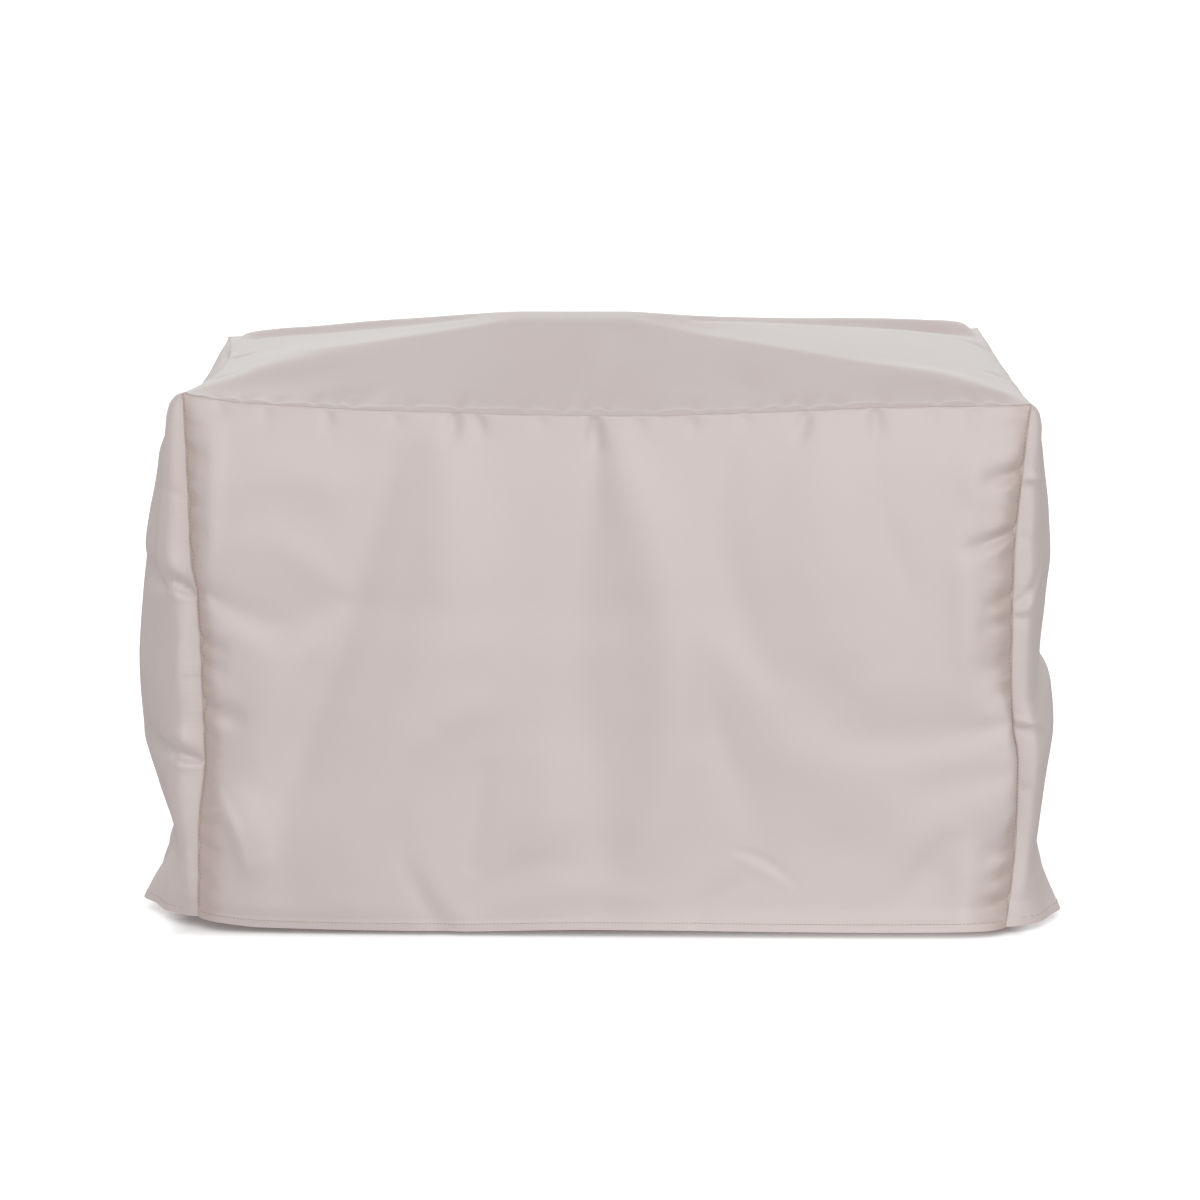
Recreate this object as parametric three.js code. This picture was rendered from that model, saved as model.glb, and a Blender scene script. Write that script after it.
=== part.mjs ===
// A fitted outdoor cover of coated woven polyester, as it hangs over a bar counter.
// Four wall panels and one top panel are sewn together along eight seams; the bottom is open.
// Millimetres, x to the right, y to the back, z up, hem at z = 0, middle of the box at x = y = 0.

import * as THREE from "three";

// Driving sizes
const WIDTH = 1400; // between the corner seams, along the front
const DEPTH = 696; // between the corner seams, from front to back
const DROP = 915; // from the top seam down to the hem
const CLOTH = 2; // thickness of the cloth
const HEM_CLOTH = 3; // thickness where the hem is turned up
const HEM_WIDTH = 15; // height of the turned-up hem
const HEM_STEP = 3; // height over which the hem's extra thickness ends
const SEAM_GAP = 0.36; // between the cut edges of two panels in a seam
const SEAM_RELIEF = 12; // folds fade out over this distance from a seam
const CRISP_SHARE = 0.65; // of a wall's fall: the rest comes over a longer way
const SLOW_REACH = 4; // how much longer that way is
const SHARP_SEAM = 0.2; // sine of the angle from which a seam counts as a turn
const LONGEST_MITRE = 2; // of a sheet's edge in a sharp seam, in thicknesses

// Middle of the bottom of the cover's box, measured from the middle of the seams
const CENTRE = { x: -18.94, y: 1.89, z: 1.03 };

// How finely each sheet is divided
const COLUMNS_ACROSS = 40; // along the front and the back
const COLUMNS_DEEP = 18; // along the sides
const ROWS_UP = 22; // above the hem
const CORNER_CROWDING = 0.55; // 0 spaces the columns evenly, 1 crowds them at the seams
const STEPS_IN_FOLD = 6; // straight steps between two stations of a fold

const CLOTH_COLOUR = "#d1c6c4";
const CLOTH_ROUGHNESS = 0.62;

// Corner seams from the hem up. The height is measured along the seam,
// and x and y are the place of the stitched line. The kinks are where folds pull on it.
const CORNERS = {
  frontLeft: {
    hem: 13,
    top: 930,
    rows: [
      { height: 0, x: -706, y: -336 },
      { height: 45, x: -704, y: -344 },
      { height: 165, x: -699, y: -348 },
      { height: 290, x: -684, y: -346 },
      { height: 400, x: -685, y: -348 },
      { height: 510, x: -686, y: -348 },
      { height: 578, x: -688, y: -346 },
      { height: 640, x: -697, y: -348 },
      { height: 780, x: -699, y: -348 },
      { height: 915, x: -702, y: -348 },
    ],
  },
  frontRight: {
    hem: 5,
    top: 911,
    rows: [
      { height: 0, x: 685, y: -370 },
      { height: 45, x: 692, y: -356 },
      { height: 170, x: 700, y: -348 },
      { height: 295, x: 698, y: -348 },
      { height: 368, x: 687, y: -346 },
      { height: 510, x: 682, y: -348 },
      { height: 645, x: 681, y: -348 },
      { height: 805, x: 691, y: -348 },
      { height: 915, x: 701, y: -348 },
    ],
  },
  backRight: {
    hem: 7,
    top: 927,
    rows: [
      { height: 0, x: 694, y: 350 },
      { height: 180, x: 698, y: 346 },
      { height: 420, x: 689, y: 347 },
      { height: 640, x: 690, y: 347 },
      { height: 915, x: 694, y: 348 },
    ],
  },
  backLeft: {
    hem: 9,
    top: 911,
    rows: [
      { height: 0, x: -708, y: 344 },
      { height: 200, x: -702, y: 346 },
      { height: 450, x: -692, y: 347 },
      { height: 700, x: -698, y: 348 },
      { height: 915, x: -707, y: 348 },
    ],
  },
};

// The walls, each seen from outside, with the across sizes from its left seam to its right seam.
// A section gives how far the cloth stands out from the straight line between the two seams at
// one height: fall is the rise beside each seam, reach and endReach are how far it takes beside
// the left and the right seam, and round is the slow belly between them. A hem row gives the
// height of the hem's edge.
// A fold is a line of stations [across, height, width, rise]: a ridge where the rise is above
// zero, and a trough where it is below.
const WALLS = {
  front_panel: {
    from: "frontLeft",
    to: "frontRight",
    length: WIDTH,
    outward: new THREE.Vector3(0, -1, 0),
    sections: [
      { height: 0, fall: 28, reach: 20, endReach: 26, round: 5 },
      { height: 60, fall: 29, reach: 22, endReach: 24, round: 4 },
      { height: 150, fall: 30, reach: 20, endReach: 16, round: 3 },
      { height: 260, fall: 30, reach: 16, endReach: 8, round: 3 },
      { height: 380, fall: 30, reach: 14, endReach: 9, round: 3 },
      { height: 480, fall: 30, reach: 13, endReach: 18, round: 3 },
      { height: 580, fall: 29, reach: 10, endReach: 20, round: 3 },
      { height: 700, fall: 26, reach: 12, endReach: 18, round: 4 },
      { height: 790, fall: 21, reach: 12, endReach: 15, round: 6 },
      { height: 860, fall: 12, reach: 11, endReach: 13, round: 11 },
      { height: 915, fall: 0, reach: 12, endReach: 14, round: 20 },
    ],
    hem: [
      { across: 0, height: 13 },
      { across: 50, height: 9 },
      { across: 110, height: 4 },
      { across: 425, height: 1 },
      { across: 700, height: 6 },
      { across: 1150, height: 4 },
      { across: 1400, height: 5 },
    ],
    folds: {
      centreValley: [
        [676, 886, 8, -2.5],
        [680, 801, 14, -5],
        [666, 690, 22, -6],
        [650, 560, 28, -6],
        [648, 440, 30, -6],
        [668, 300, 30, -5],
        [688, 160, 28, -4],
        [700, 90, 24, -1],
      ],
      centreCrest: [
        [722, 862, 24, 4],
        [752, 780, 48, 9],
        [782, 690, 66, 12],
        [805, 560, 80, 13],
        [812, 440, 82, 13],
        [796, 300, 74, 12],
        [766, 160, 60, 8],
        [750, 80, 50, 3],
      ],
      slantValley: [
        [352, 832, 20, -2],
        [308, 690, 28, -5],
        [262, 560, 32, -6],
        [208, 430, 34, -7],
        [164, 300, 34, -6],
        [134, 195, 34, -4],
        [150, 80, 34, -2],
      ],
      slantCrest: [
        [432, 850, 40, 6],
        [440, 690, 66, 11],
        [420, 540, 82, 12],
        [376, 415, 86, 12],
        [322, 297, 80, 12],
        [276, 195, 70, 8],
        [246, 80, 60, 4],
      ],
      lensValley: [
        [12, 588, 9, -2.5],
        [70, 556, 24, -4.5],
        [140, 536, 32, -5],
        [200, 552, 28, -4],
        [258, 584, 14, -1],
      ],
      lensCrest: [
        [50, 672, 30, 1.5],
        [130, 682, 36, 2.5],
        [195, 662, 34, 2.5],
        [250, 618, 24, 1.5],
      ],
      leftCrest: [
        [236, 566, 20, 3],
        [152, 472, 34, 6],
        [106, 369, 36, 7],
        [92, 236, 36, 6],
        [104, 120, 34, 4],
      ],
      upperLeftCrest: [
        [30, 760, 40, 2],
        [130, 800, 44, 3],
        [230, 790, 44, 3],
      ],
      rightSoftValley: [
        [905, 830, 24, -1.5],
        [905, 700, 34, -3],
        [935, 560, 36, -3],
        [970, 470, 34, -2],
      ],
      rightSoftCrest: [
        [1050, 850, 50, 6],
        [1075, 700, 78, 9],
        [1096, 560, 80, 9],
        [1140, 450, 70, 5],
      ],
      rightNarrowTrough: [
        [1146, 850, 10, -1.5],
        [1165, 740, 20, -3.5],
        [1205, 640, 20, -3],
        [1225, 590, 16, -1],
      ],
      sweepValley: [
        [862, 500, 12, -2],
        [872, 410, 20, -4],
        [898, 320, 24, -5],
        [934, 236, 26, -4],
        [972, 140, 26, -2],
      ],
      sweepCrest: [
        [905, 505, 20, 3],
        [966, 405, 44, 7],
        [1030, 325, 60, 9],
        [1120, 262, 66, 8],
        [1200, 190, 56, 4],
      ],
      kinkValley: [
        [1110, 334, 20, -1.5],
        [1190, 338, 30, -3.5],
        [1285, 346, 30, -4.5],
        [1368, 362, 18, -4],
        [1394, 368, 9, -3],
      ],
      kinkUpper: [
        [1160, 430, 44, 1.5],
        [1270, 445, 48, 2.5],
        [1340, 430, 34, 1.5],
      ],
      kinkLower: [
        [1180, 300, 22, 1],
        [1290, 312, 18, 1.5],
        [1380, 338, 12, 1.5],
      ],
      kinkSecond: [
        [1230, 252, 24, -1.2],
        [1300, 262, 24, -2],
        [1385, 280, 16, -2.5],
      ],
      cornerCrest: [
        [1345, 225, 28, 3],
        [1245, 172, 38, 4],
        [1160, 84, 34, 2],
      ],
      lowValley: [
        [486, 290, 20, -1.5],
        [472, 200, 26, -3],
        [470, 128, 24, -2],
      ],
      lowCrest: [
        [596, 290, 46, 4],
        [598, 200, 54, 6],
        [584, 128, 44, 3],
      ],
      arcCrest: [
        [388, 350, 30, 2],
        [446, 402, 34, 2.5],
        [525, 412, 32, 1],
      ],
      hemTuck: [
        [344, 240, 12, -0.6],
        [350, 140, 13, -1.8],
        [384, 68, 14, -3.4],
        [428, 0, 20, -4.5],
      ],
      hemTuckRidge: [
        [388, 150, 16, 1.2],
        [414, 80, 18, 2.2],
        [462, 10, 26, 2.6],
      ],
      hemArcMiddle: [
        [560, 40, 30, 1.2],
        [650, 74, 30, 1.8],
        [760, 66, 30, 1.2],
      ],
    },
  },
  right_panel: {
    from: "frontRight",
    to: "backRight",
    length: DEPTH,
    outward: new THREE.Vector3(1, 0, 0),
    sections: [
      { height: 0, fall: 88, reach: 20, endReach: 20, round: 10 },
      { height: 55, fall: 54, reach: 10, endReach: 12, round: 28 },
      { height: 120, fall: 32, reach: 5, endReach: 8, round: 38 },
      { height: 216, fall: 36, reach: 5, endReach: 8, round: 48 },
      { height: 307, fall: 43, reach: 5, endReach: 8, round: 58 },
      { height: 361, fall: 45, reach: 5, endReach: 8, round: 62 },
      { height: 416, fall: 32, reach: 5, endReach: 8, round: 49 },
      { height: 490, fall: 34, reach: 5, endReach: 8, round: 48 },
      { height: 611, fall: 40, reach: 5, endReach: 8, round: 50 },
      { height: 700, fall: 36, reach: 5, endReach: 8, round: 46 },
      { height: 825, fall: 26, reach: 5, endReach: 8, round: 28 },
      { height: 870, fall: 26, reach: 6, endReach: 26, round: 8 },
      { height: 895, fall: 20, reach: 6, endReach: 40, round: -8 },
      { height: 915, fall: 0, reach: 6, endReach: 40, round: -4 },
    ],
    hem: [
      { across: 0, height: 5 },
      { across: 110, height: 7 },
      { across: 350, height: 3 },
      { across: 696, height: 7 },
    ],
    folds: {
      kinkTrough: [
        [6, 370, 12, -6],
        [60, 365, 24, -9],
        [170, 372, 40, -6],
        [300, 380, 50, -3],
      ],
      upperTrough: [
        [8, 580, 10, -4],
        [60, 575, 20, -6],
        [150, 560, 35, -4],
      ],
      frontRidge: [
        [120, 800, 40, 4],
        [150, 660, 50, 6],
        [190, 520, 45, 4],
      ],
      backTrough: [
        [430, 840, 40, -3],
        [470, 600, 60, -9],
        [450, 300, 60, -7],
        [430, 60, 50, -3],
      ],
      hemTip: [
        [78, 90, 22, 2],
        [84, 40, 22, 9],
        [86, 0, 24, 17],
      ],
      hemTrough: [
        [250, 140, 40, -3],
        [260, 0, 50, -8],
      ],
    },
  },
  back_panel: {
    from: "backRight",
    to: "backLeft",
    length: WIDTH,
    outward: new THREE.Vector3(0, 1, 0),
    sections: [
      { height: 0, fall: 24, reach: 20, endReach: 22, round: 12 },
      { height: 60, fall: 24, reach: 20, endReach: 22, round: 5 },
      { height: 200, fall: 30, reach: 18, endReach: 20, round: 8 },
      { height: 450, fall: 34, reach: 16, endReach: 14, round: 12 },
      { height: 700, fall: 30, reach: 14, endReach: 16, round: 10 },
      { height: 860, fall: 12, reach: 12, endReach: 13, round: 12 },
      { height: 915, fall: 0, reach: 12, endReach: 12, round: 16 },
    ],
    hem: [
      { across: 0, height: 7 },
      { across: 380, height: 2 },
      { across: 800, height: 6 },
      { across: 1400, height: 9 },
    ],
    folds: {
      firstTrough: [
        [330, 880, 14, -2],
        [360, 640, 50, -9],
        [330, 380, 55, -8],
        [350, 120, 45, -4],
      ],
      middleRidge: [
        [640, 840, 30, 3],
        [610, 560, 60, 8],
        [660, 260, 55, 5],
      ],
      lastTrough: [
        [900, 885, 14, -2],
        [960, 620, 50, -10],
        [1040, 400, 55, -8],
        [1080, 160, 50, -4],
      ],
      kinkTrough: [
        [1392, 470, 12, -6],
        [1330, 480, 24, -8],
        [1220, 520, 40, -5],
      ],
      hemTuck: [
        [520, 130, 24, -3],
        [540, 0, 34, -9],
      ],
    },
  },
  left_panel: {
    from: "backLeft",
    to: "frontLeft",
    length: DEPTH,
    outward: new THREE.Vector3(-1, 0, 0),
    sections: [
      { height: 0, fall: 88, reach: 26, endReach: 26, round: 2 },
      { height: 55, fall: 54, reach: 14, endReach: 12, round: 34 },
      { height: 120, fall: 29, reach: 8, endReach: 5, round: 43 },
      { height: 205, fall: 44, reach: 8, endReach: 5, round: 67 },
      { height: 268, fall: 56, reach: 8, endReach: 5, round: 83 },
      { height: 385, fall: 62, reach: 8, endReach: 5, round: 83 },
      { height: 530, fall: 56, reach: 8, endReach: 5, round: 76 },
      { height: 690, fall: 42, reach: 8, endReach: 5, round: 58 },
      { height: 775, fall: 33, reach: 8, endReach: 5, round: 49 },
      { height: 828, fall: 33, reach: 8, endReach: 5, round: 24 },
      { height: 870, fall: 34, reach: 26, endReach: 5, round: -18 },
      { height: 895, fall: 28, reach: 36, endReach: 5, round: -40 },
      { height: 906, fall: 18, reach: 40, endReach: 6, round: -46 },
      { height: 915, fall: 0, reach: 40, endReach: 6, round: -30 },
    ],
    hem: [
      { across: 0, height: 9 },
      { across: 350, height: 5 },
      { across: 620, height: 13 },
      { across: 696, height: 13 },
    ],
    folds: {
      upperKinkTrough: [
        [694, 580, 7, -8],
        [668, 584, 13, -11],
        [610, 590, 24, -9],
        [500, 584, 42, -4],
      ],
      lowerKinkTrough: [
        [694, 292, 7, -8],
        [664, 294, 14, -11],
        [600, 290, 28, -8],
        [500, 280, 40, -4],
      ],
      frontRidge: [
        [600, 760, 35, 4],
        [560, 660, 45, 6],
        [540, 440, 50, 5],
      ],
      backTrough: [
        [270, 850, 35, -3],
        [230, 620, 60, -9],
        [250, 330, 60, -8],
        [280, 60, 50, -3],
      ],
      hemTip: [
        [618, 100, 24, 2],
        [604, 44, 24, 13],
        [594, 0, 26, 24],
      ],
      hemTrough: [
        [450, 130, 40, -3],
        [440, 0, 50, -8],
      ],
    },
  },
};

// The top, one section from front to back at each x. The cloth rises from the front seam to a
// crease, runs to the crest, and falls to the back seam; each line of creases meets the next
// section's, so that together they make the low tent shape. Dip is the sag between the two.
const TOP_SECTIONS = [
  { x: -700, front: 930, creaseY: -60, crease: 916, crestY: 130, crest: 912, back: 911, dip: 0 },
  { x: -665, front: 924, creaseY: -85, crease: 923, crestY: 312, crest: 924, back: 911, dip: 1 },
  { x: -610, front: 916, creaseY: -92, crease: 937, crestY: 286, crest: 937, back: 911, dip: 2 },
  { x: -520, front: 911, creaseY: -92, crease: 951, crestY: 228, crest: 954, back: 908, dip: 3 },
  { x: -430, front: 906, creaseY: -75, crease: 965, crestY: 170, crest: 971, back: 906, dip: 4 },
  { x: -340, front: 903, creaseY: -52, crease: 979, crestY: 113, crest: 985, back: 905, dip: 3 },
  { x: -250, front: 901, creaseY: -38, crease: 991, crestY: 62, crest: 999, back: 905, dip: 1 },
  { x: -164, front: 898, creaseY: -35, crease: 1003, crestY: 20, crest: 1010, back: 904, dip: 0 },
  { x: 20, front: 896, creaseY: -35, crease: 1003, crestY: 20, crest: 1010, back: 904, dip: 0 },
  { x: 90, front: 896, creaseY: -38, crease: 991, crestY: 35, crest: 1004, back: 905, dip: 1 },
  { x: 150, front: 898, creaseY: -55, crease: 982, crestY: 55, crest: 997, back: 907, dip: 3 },
  { x: 250, front: 901, creaseY: -95, crease: 972, crestY: 105, crest: 986, back: 909, dip: 1 },
  { x: 356, front: 905, creaseY: -150, crease: 962, crestY: 163, crest: 976, back: 913, dip: -2 },
  { x: 450, front: 908, creaseY: -188, crease: 952, crestY: 214, crest: 969, back: 916, dip: -3 },
  { x: 521, front: 909, creaseY: -208, crease: 944, crestY: 253, crest: 963, back: 919, dip: -3 },
  { x: 600, front: 909, creaseY: -213, crease: 933, crestY: 290, crest: 954, back: 923, dip: -2 },
  { x: 665, front: 910, creaseY: -205, crease: 920, crestY: 312, crest: 944, back: 925, dip: 0 },
  { x: 700, front: 911, creaseY: -195, crease: 908, crestY: 192, crest: 919, back: 927, dip: 0 },
];
const CREASE_ROUNDING = 16; // half the width over which a crease on the top turns

// Folds of the top: stations [across, distance from the front seam, width, rise].
const TOP_FOLDS = {
  middleTuck: [
    [640, 40, 12, -2],
    [645, 130, 26, -5],
    [640, 230, 22, -1],
  ],
  middleRidge: [
    [690, 40, 14, 2],
    [700, 140, 26, 4],
    [700, 240, 22, 1],
  ],
  leftTuck: [
    [283, 12, 10, -4],
    [292, 50, 22, -6],
    [320, 120, 30, -2],
  ],
  rightTuck: [
    [955, 20, 16, -3],
    [945, 80, 30, -5],
    [925, 160, 34, -1],
  ],
};

// Value of a column at a place between rows, on a curve that passes through every row
// and doesn't swing past them.
function readTable(rows, key, column, at) {
  const last = rows.length - 1;
  let i = 0;
  while (i < last - 1 && rows[i + 1][key] < at) i++;
  const slope = (k) => (rows[k + 1][column] - rows[k][column]) / (rows[k + 1][key] - rows[k][key]);
  const tangent = (k) => {
    if (k === 0) return slope(0);
    if (k === last) return slope(last - 1);
    const before = slope(k - 1);
    const after = slope(k);
    return before * after <= 0 ? 0 : (2 * before * after) / (before + after);
  };
  const step = rows[i + 1][key] - rows[i][key];
  const t = THREE.MathUtils.clamp((at - rows[i][key]) / step, 0, 1);
  const rise = rows[i + 1][column] - rows[i][column];
  const bend = step * tangent(i) * (1 - t) - step * tangent(i + 1) * t;
  const ease = t * t * (3 - 2 * t);
  return rows[i][column] + rise * ease + t * (1 - t) * bend;
}

// A fold as a smooth line of small straight steps.
function traceFold(stations) {
  const asPoints = (a, b) => stations.map((s) => new THREE.Vector3(s[a], s[b], 0));
  const steps = (stations.length - 1) * STEPS_IN_FOLD;
  const line = new THREE.CatmullRomCurve3(asPoints(0, 1), false, "centripetal");
  const shape = new THREE.CatmullRomCurve3(asPoints(2, 3), false, "centripetal");
  return Array.from({ length: steps + 1 }, (_, i) => {
    const place = line.getPoint(i / steps);
    const size = shape.getPoint(i / steps);
    return { across: place.x, up: place.y, width: size.x, rise: size.y };
  });
}

// How far a set of folds lifts the cloth at one place.
function liftOfFolds(lines, across, up) {
  let lift = 0;
  for (const line of lines) {
    let nearest = Infinity;
    let rise = 0;
    for (let i = 0; i + 1 < line.length; i++) {
      const a = line[i];
      const b = line[i + 1];
      const run = b.across - a.across;
      const climb = b.up - a.up;
      const along = ((across - a.across) * run + (up - a.up) * climb) / (run * run + climb * climb);
      const t = THREE.MathUtils.clamp(along, 0, 1);
      const off = Math.hypot(across - a.across - run * t, up - a.up - climb * t);
      const ratio = off / THREE.MathUtils.lerp(a.width, b.width, t);
      if (ratio < nearest) {
        nearest = ratio;
        rise = THREE.MathUtils.lerp(a.rise, b.rise, t);
      }
    }
    lift += rise * Math.exp(-nearest * nearest);
  }
  return lift;
}

// 0 on a seam, 1 well away from it.
const awayFromSeam = (distance) => 1 - Math.exp(-((distance / SEAM_RELIEF) ** 2));

// Place of a corner seam, v running from the hem at 0 to the top at 1.
function cornerSeam(name, v) {
  const { hem, top, rows } = CORNERS[name];
  return new THREE.Vector3(
    readTable(rows, "height", "x", v * DROP),
    readTable(rows, "height", "y", v * DROP),
    THREE.MathUtils.lerp(hem, top, v),
  );
}

// Height of the top's cloth over one section: straight runs between the seams, crease and
// crest, rounded where they meet.
function sectionHeight(section, depth) {
  const crease = section.creaseY + DEPTH / 2;
  const crest = section.crestY + DEPTH / 2;
  const line = [
    [0, section.front],
    [crease, section.crease],
    [crest, section.crest],
    [DEPTH, section.back],
  ];
  const straight = (at) => {
    let i = 0;
    while (i < 2 && line[i + 1][0] < at) i++;
    const t = (at - line[i][0]) / (line[i + 1][0] - line[i][0]);
    const sag = i === 1 ? section.dip * 4 * t * (1 - t) : 0;
    return THREE.MathUtils.lerp(line[i][1], line[i + 1][1], t) - sag;
  };
  const reach = Math.min(CREASE_ROUNDING, depth, DEPTH - depth);
  const samples = [-1, -0.5, 0, 0.5, 1].map((k) => straight(depth + k * reach));
  return samples.reduce((sum, z) => sum + z, 0) / samples.length;
}

// Height of the top at u across, from the left seam at 0, and t deep, from the front seam at 0.
function topHeight(u, t) {
  const x = (u - 0.5) * WIDTH;
  const section = {};
  for (const column of Object.keys(TOP_SECTIONS[0])) {
    section[column] = readTable(TOP_SECTIONS, "x", column, x);
  }
  return sectionHeight(section, t * DEPTH);
}

// Where each wall's top edge lies on the top panel.
const TOP_EDGES = {
  front_panel: (u) => [u, 0],
  right_panel: (u) => [1, u],
  back_panel: (u) => [1 - u, 1],
  left_panel: (u) => [0, 1 - u],
};

const foldLines = (folds) => Object.values(folds).map(traceFold);
for (const wall of Object.values(WALLS)) wall.lines = foldLines(wall.folds);
const TOP_LINES = foldLines(TOP_FOLDS);

// Share of a wall's fall that is reached at a distance from a seam: most of it comes at once,
// and the rest over a longer way.
function riseFromSeam(distance, reach) {
  return THREE.MathUtils.lerp(
    Math.tanh(distance / (SLOW_REACH * reach)),
    Math.tanh(distance / reach),
    CRISP_SHARE,
  );
}

// Place on the outside of a wall: u across it, v up from the hem.
function wallPoint(name, u, v) {
  const wall = WALLS[name];
  const start = cornerSeam(wall.from, v);
  const end = cornerSeam(wall.to, v);
  const across = u * wall.length;
  const up = v * DROP;
  const toSeam = Math.min(across, wall.length - across);
  const [fall, reach, endReach, round] = ["fall", "reach", "endReach", "round"].map((column) =>
    readTable(wall.sections, "height", column, up),
  );
  const full = riseFromSeam(across, reach) * riseFromSeam(wall.length - across, endReach);
  const belly = fall * full + round * 4 * u * (1 - u);
  const lift = liftOfFolds(wall.lines, across, up) * awayFromSeam(toSeam) * awayFromSeam(DROP - up);
  const bottom = readTable(wall.hem, "across", "height", across);
  const place = start.lerp(end, u).addScaledVector(wall.outward, belly + lift);
  place.z = THREE.MathUtils.lerp(bottom, topHeight(...TOP_EDGES[name](u)), v);
  return place;
}

// Place on the outside of the top: in plan it fills in between the walls' top edges.
function topPoint(u, t) {
  const front = wallPoint("front_panel", u, 1);
  const back = wallPoint("back_panel", 1 - u, 1);
  const left = wallPoint("left_panel", 1 - t, 1);
  const right = wallPoint("right_panel", t, 1);
  const corner = (name) => cornerSeam(name, 1);
  const place = new THREE.Vector3()
    .addScaledVector(front, 1 - t)
    .addScaledVector(back, t)
    .addScaledVector(left, 1 - u)
    .addScaledVector(right, u)
    .addScaledVector(corner("frontLeft"), -(1 - u) * (1 - t))
    .addScaledVector(corner("frontRight"), -u * (1 - t))
    .addScaledVector(corner("backRight"), -u * t)
    .addScaledVector(corner("backLeft"), -(1 - u) * t);
  const toSide = Math.min(u, 1 - u) * WIDTH;
  const toFront = Math.min(t, 1 - t) * DEPTH;
  const lift = liftOfFolds(TOP_LINES, u * WIDTH, t * DEPTH);
  place.z = topHeight(u, t) + lift * awayFromSeam(toSide) * awayFromSeam(toFront);
  return place;
}

// Places of the columns from 0 to 1, closer together at both seams.
function crowdedSteps(count) {
  const wave = CORNER_CROWDING / (2 * Math.PI);
  return Array.from({ length: count + 1 }, (_, i) => {
    const s = i / count;
    return s - wave * Math.sin(2 * Math.PI * s);
  });
}

const stepsAcross = crowdedSteps(COLUMNS_ACROSS);
const stepsDeep = crowdedSteps(COLUMNS_DEEP);
const hemTop = HEM_WIDTH / DROP;
const aboveHem = (HEM_WIDTH + HEM_STEP) / DROP;
const stepsUp = [0, hemTop];
for (let i = 0; i <= ROWS_UP; i++) stepsUp.push(THREE.MathUtils.lerp(aboveHem, 1, i / ROWS_UP));

// Every sheet as a grid of points on its outside.
const sheets = {};
for (const [name, wall] of Object.entries(WALLS)) {
  const us = wall.length === WIDTH ? stepsAcross : stepsDeep;
  sheets[name] = {
    us,
    vs: stepsUp,
    points: us.map((u) => stepsUp.map((v) => wallPoint(name, u, v))),
    thickness: (v) => (v <= hemTop ? HEM_CLOTH : CLOTH),
  };
}
sheets.top_panel = {
  us: stepsAcross,
  vs: stepsDeep,
  points: stepsAcross.map((u) => stepsDeep.map((t) => topPoint(u, t))),
  thickness: () => CLOTH,
};

// Outward direction of a sheet at one grid point, from its neighbours.
function outwardAt(sheet, i, j) {
  const { points } = sheet;
  const lastI = points.length - 1;
  const lastJ = points[0].length - 1;
  const alongU = points[Math.min(i + 1, lastI)][j].clone().sub(points[Math.max(i - 1, 0)][j]);
  const alongV = points[i][Math.min(j + 1, lastJ)].clone().sub(points[i][Math.max(j - 1, 0)]);
  return alongU.cross(alongV).normalize();
}

const LAST_UP = stepsUp.length - 1;
const LAST_DEEP = stepsDeep.length - 1;
const LAST_ACROSS = stepsAcross.length - 1;

// The sewn neighbours of a grid point: for each seam that it lies on, the neighbour's name and
// the matching grid point there.
function neighboursOf(name, i, j) {
  const found = [];
  if (name === "top_panel") {
    if (j === 0) found.push(["front_panel", i, LAST_UP]);
    if (i === LAST_ACROSS) found.push(["right_panel", j, LAST_UP]);
    if (j === LAST_DEEP) found.push(["back_panel", LAST_ACROSS - i, LAST_UP]);
    if (i === 0) found.push(["left_panel", LAST_DEEP - j, LAST_UP]);
    return found;
  }
  const names = Object.keys(WALLS);
  const place = names.indexOf(name);
  const before = names[(place + names.length - 1) % names.length];
  const after = names[(place + 1) % names.length];
  if (i === 0) found.push([before, sheets[before].us.length - 1, j]);
  if (i === sheets[name].us.length - 1) found.push([after, 0, j]);
  if (j === LAST_UP) {
    const topPlace = {
      front_panel: [i, 0],
      right_panel: [LAST_ACROSS, i],
      back_panel: [LAST_ACROSS - i, LAST_DEEP],
      left_panel: [0, LAST_DEEP - i],
    };
    found.push(["top_panel", ...topPlace[name]]);
  }
  return found;
}

// Direction from a seam point into its own sheet.
function intoSheet(sheet, i, j) {
  const { points } = sheet;
  const nextI = i === 0 ? 1 : i === points.length - 1 ? i - 1 : i;
  const nextJ = j === 0 ? 1 : j === points[0].length - 1 ? j - 1 : j;
  return points[nextI][nextJ].clone().sub(points[i][j]);
}

// Outer and inner place of one grid point. On a seam the cloth is mitred halfway to its
// neighbour, and its edge is drawn back by half the seam gap.
function outerAndInner(name, i, j) {
  const sheet = sheets[name];
  const thickness = sheet.thickness(sheet.vs[j]);
  const own = outwardAt(sheet, i, j);
  const outer = sheet.points[i][j].clone();
  const neighbours = neighboursOf(name, i, j);
  if (!neighbours.length) return [outer, outer.clone().addScaledVector(own, -thickness)];
  const mean = own.clone();
  const drawBack = new THREE.Vector3();
  for (const [other, otherI, otherJ] of neighbours) {
    const theirs = outwardAt(sheets[other], otherI, otherJ);
    mean.add(theirs);
    const halfway = own.clone().add(theirs).normalize();
    const seamLine = own.clone().cross(theirs);
    const inward = intoSheet(sheet, i, j);
    const away = intoSheet(sheets[other], otherI, otherJ);
    const apart = inward.normalize().sub(away.normalize());
    apart.addScaledVector(halfway, -apart.dot(halfway));
    if (seamLine.length() > SHARP_SEAM) {
      seamLine.normalize();
      apart.addScaledVector(seamLine, -apart.dot(seamLine));
    }
    drawBack.addScaledVector(apart.normalize(), SEAM_GAP / 2);
  }
  mean.normalize();
  outer.add(drawBack);
  const mitre = thickness * Math.min(1 / mean.dot(own), LONGEST_MITRE);
  return [outer, outer.clone().addScaledVector(mean, -mitre)];
}

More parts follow.
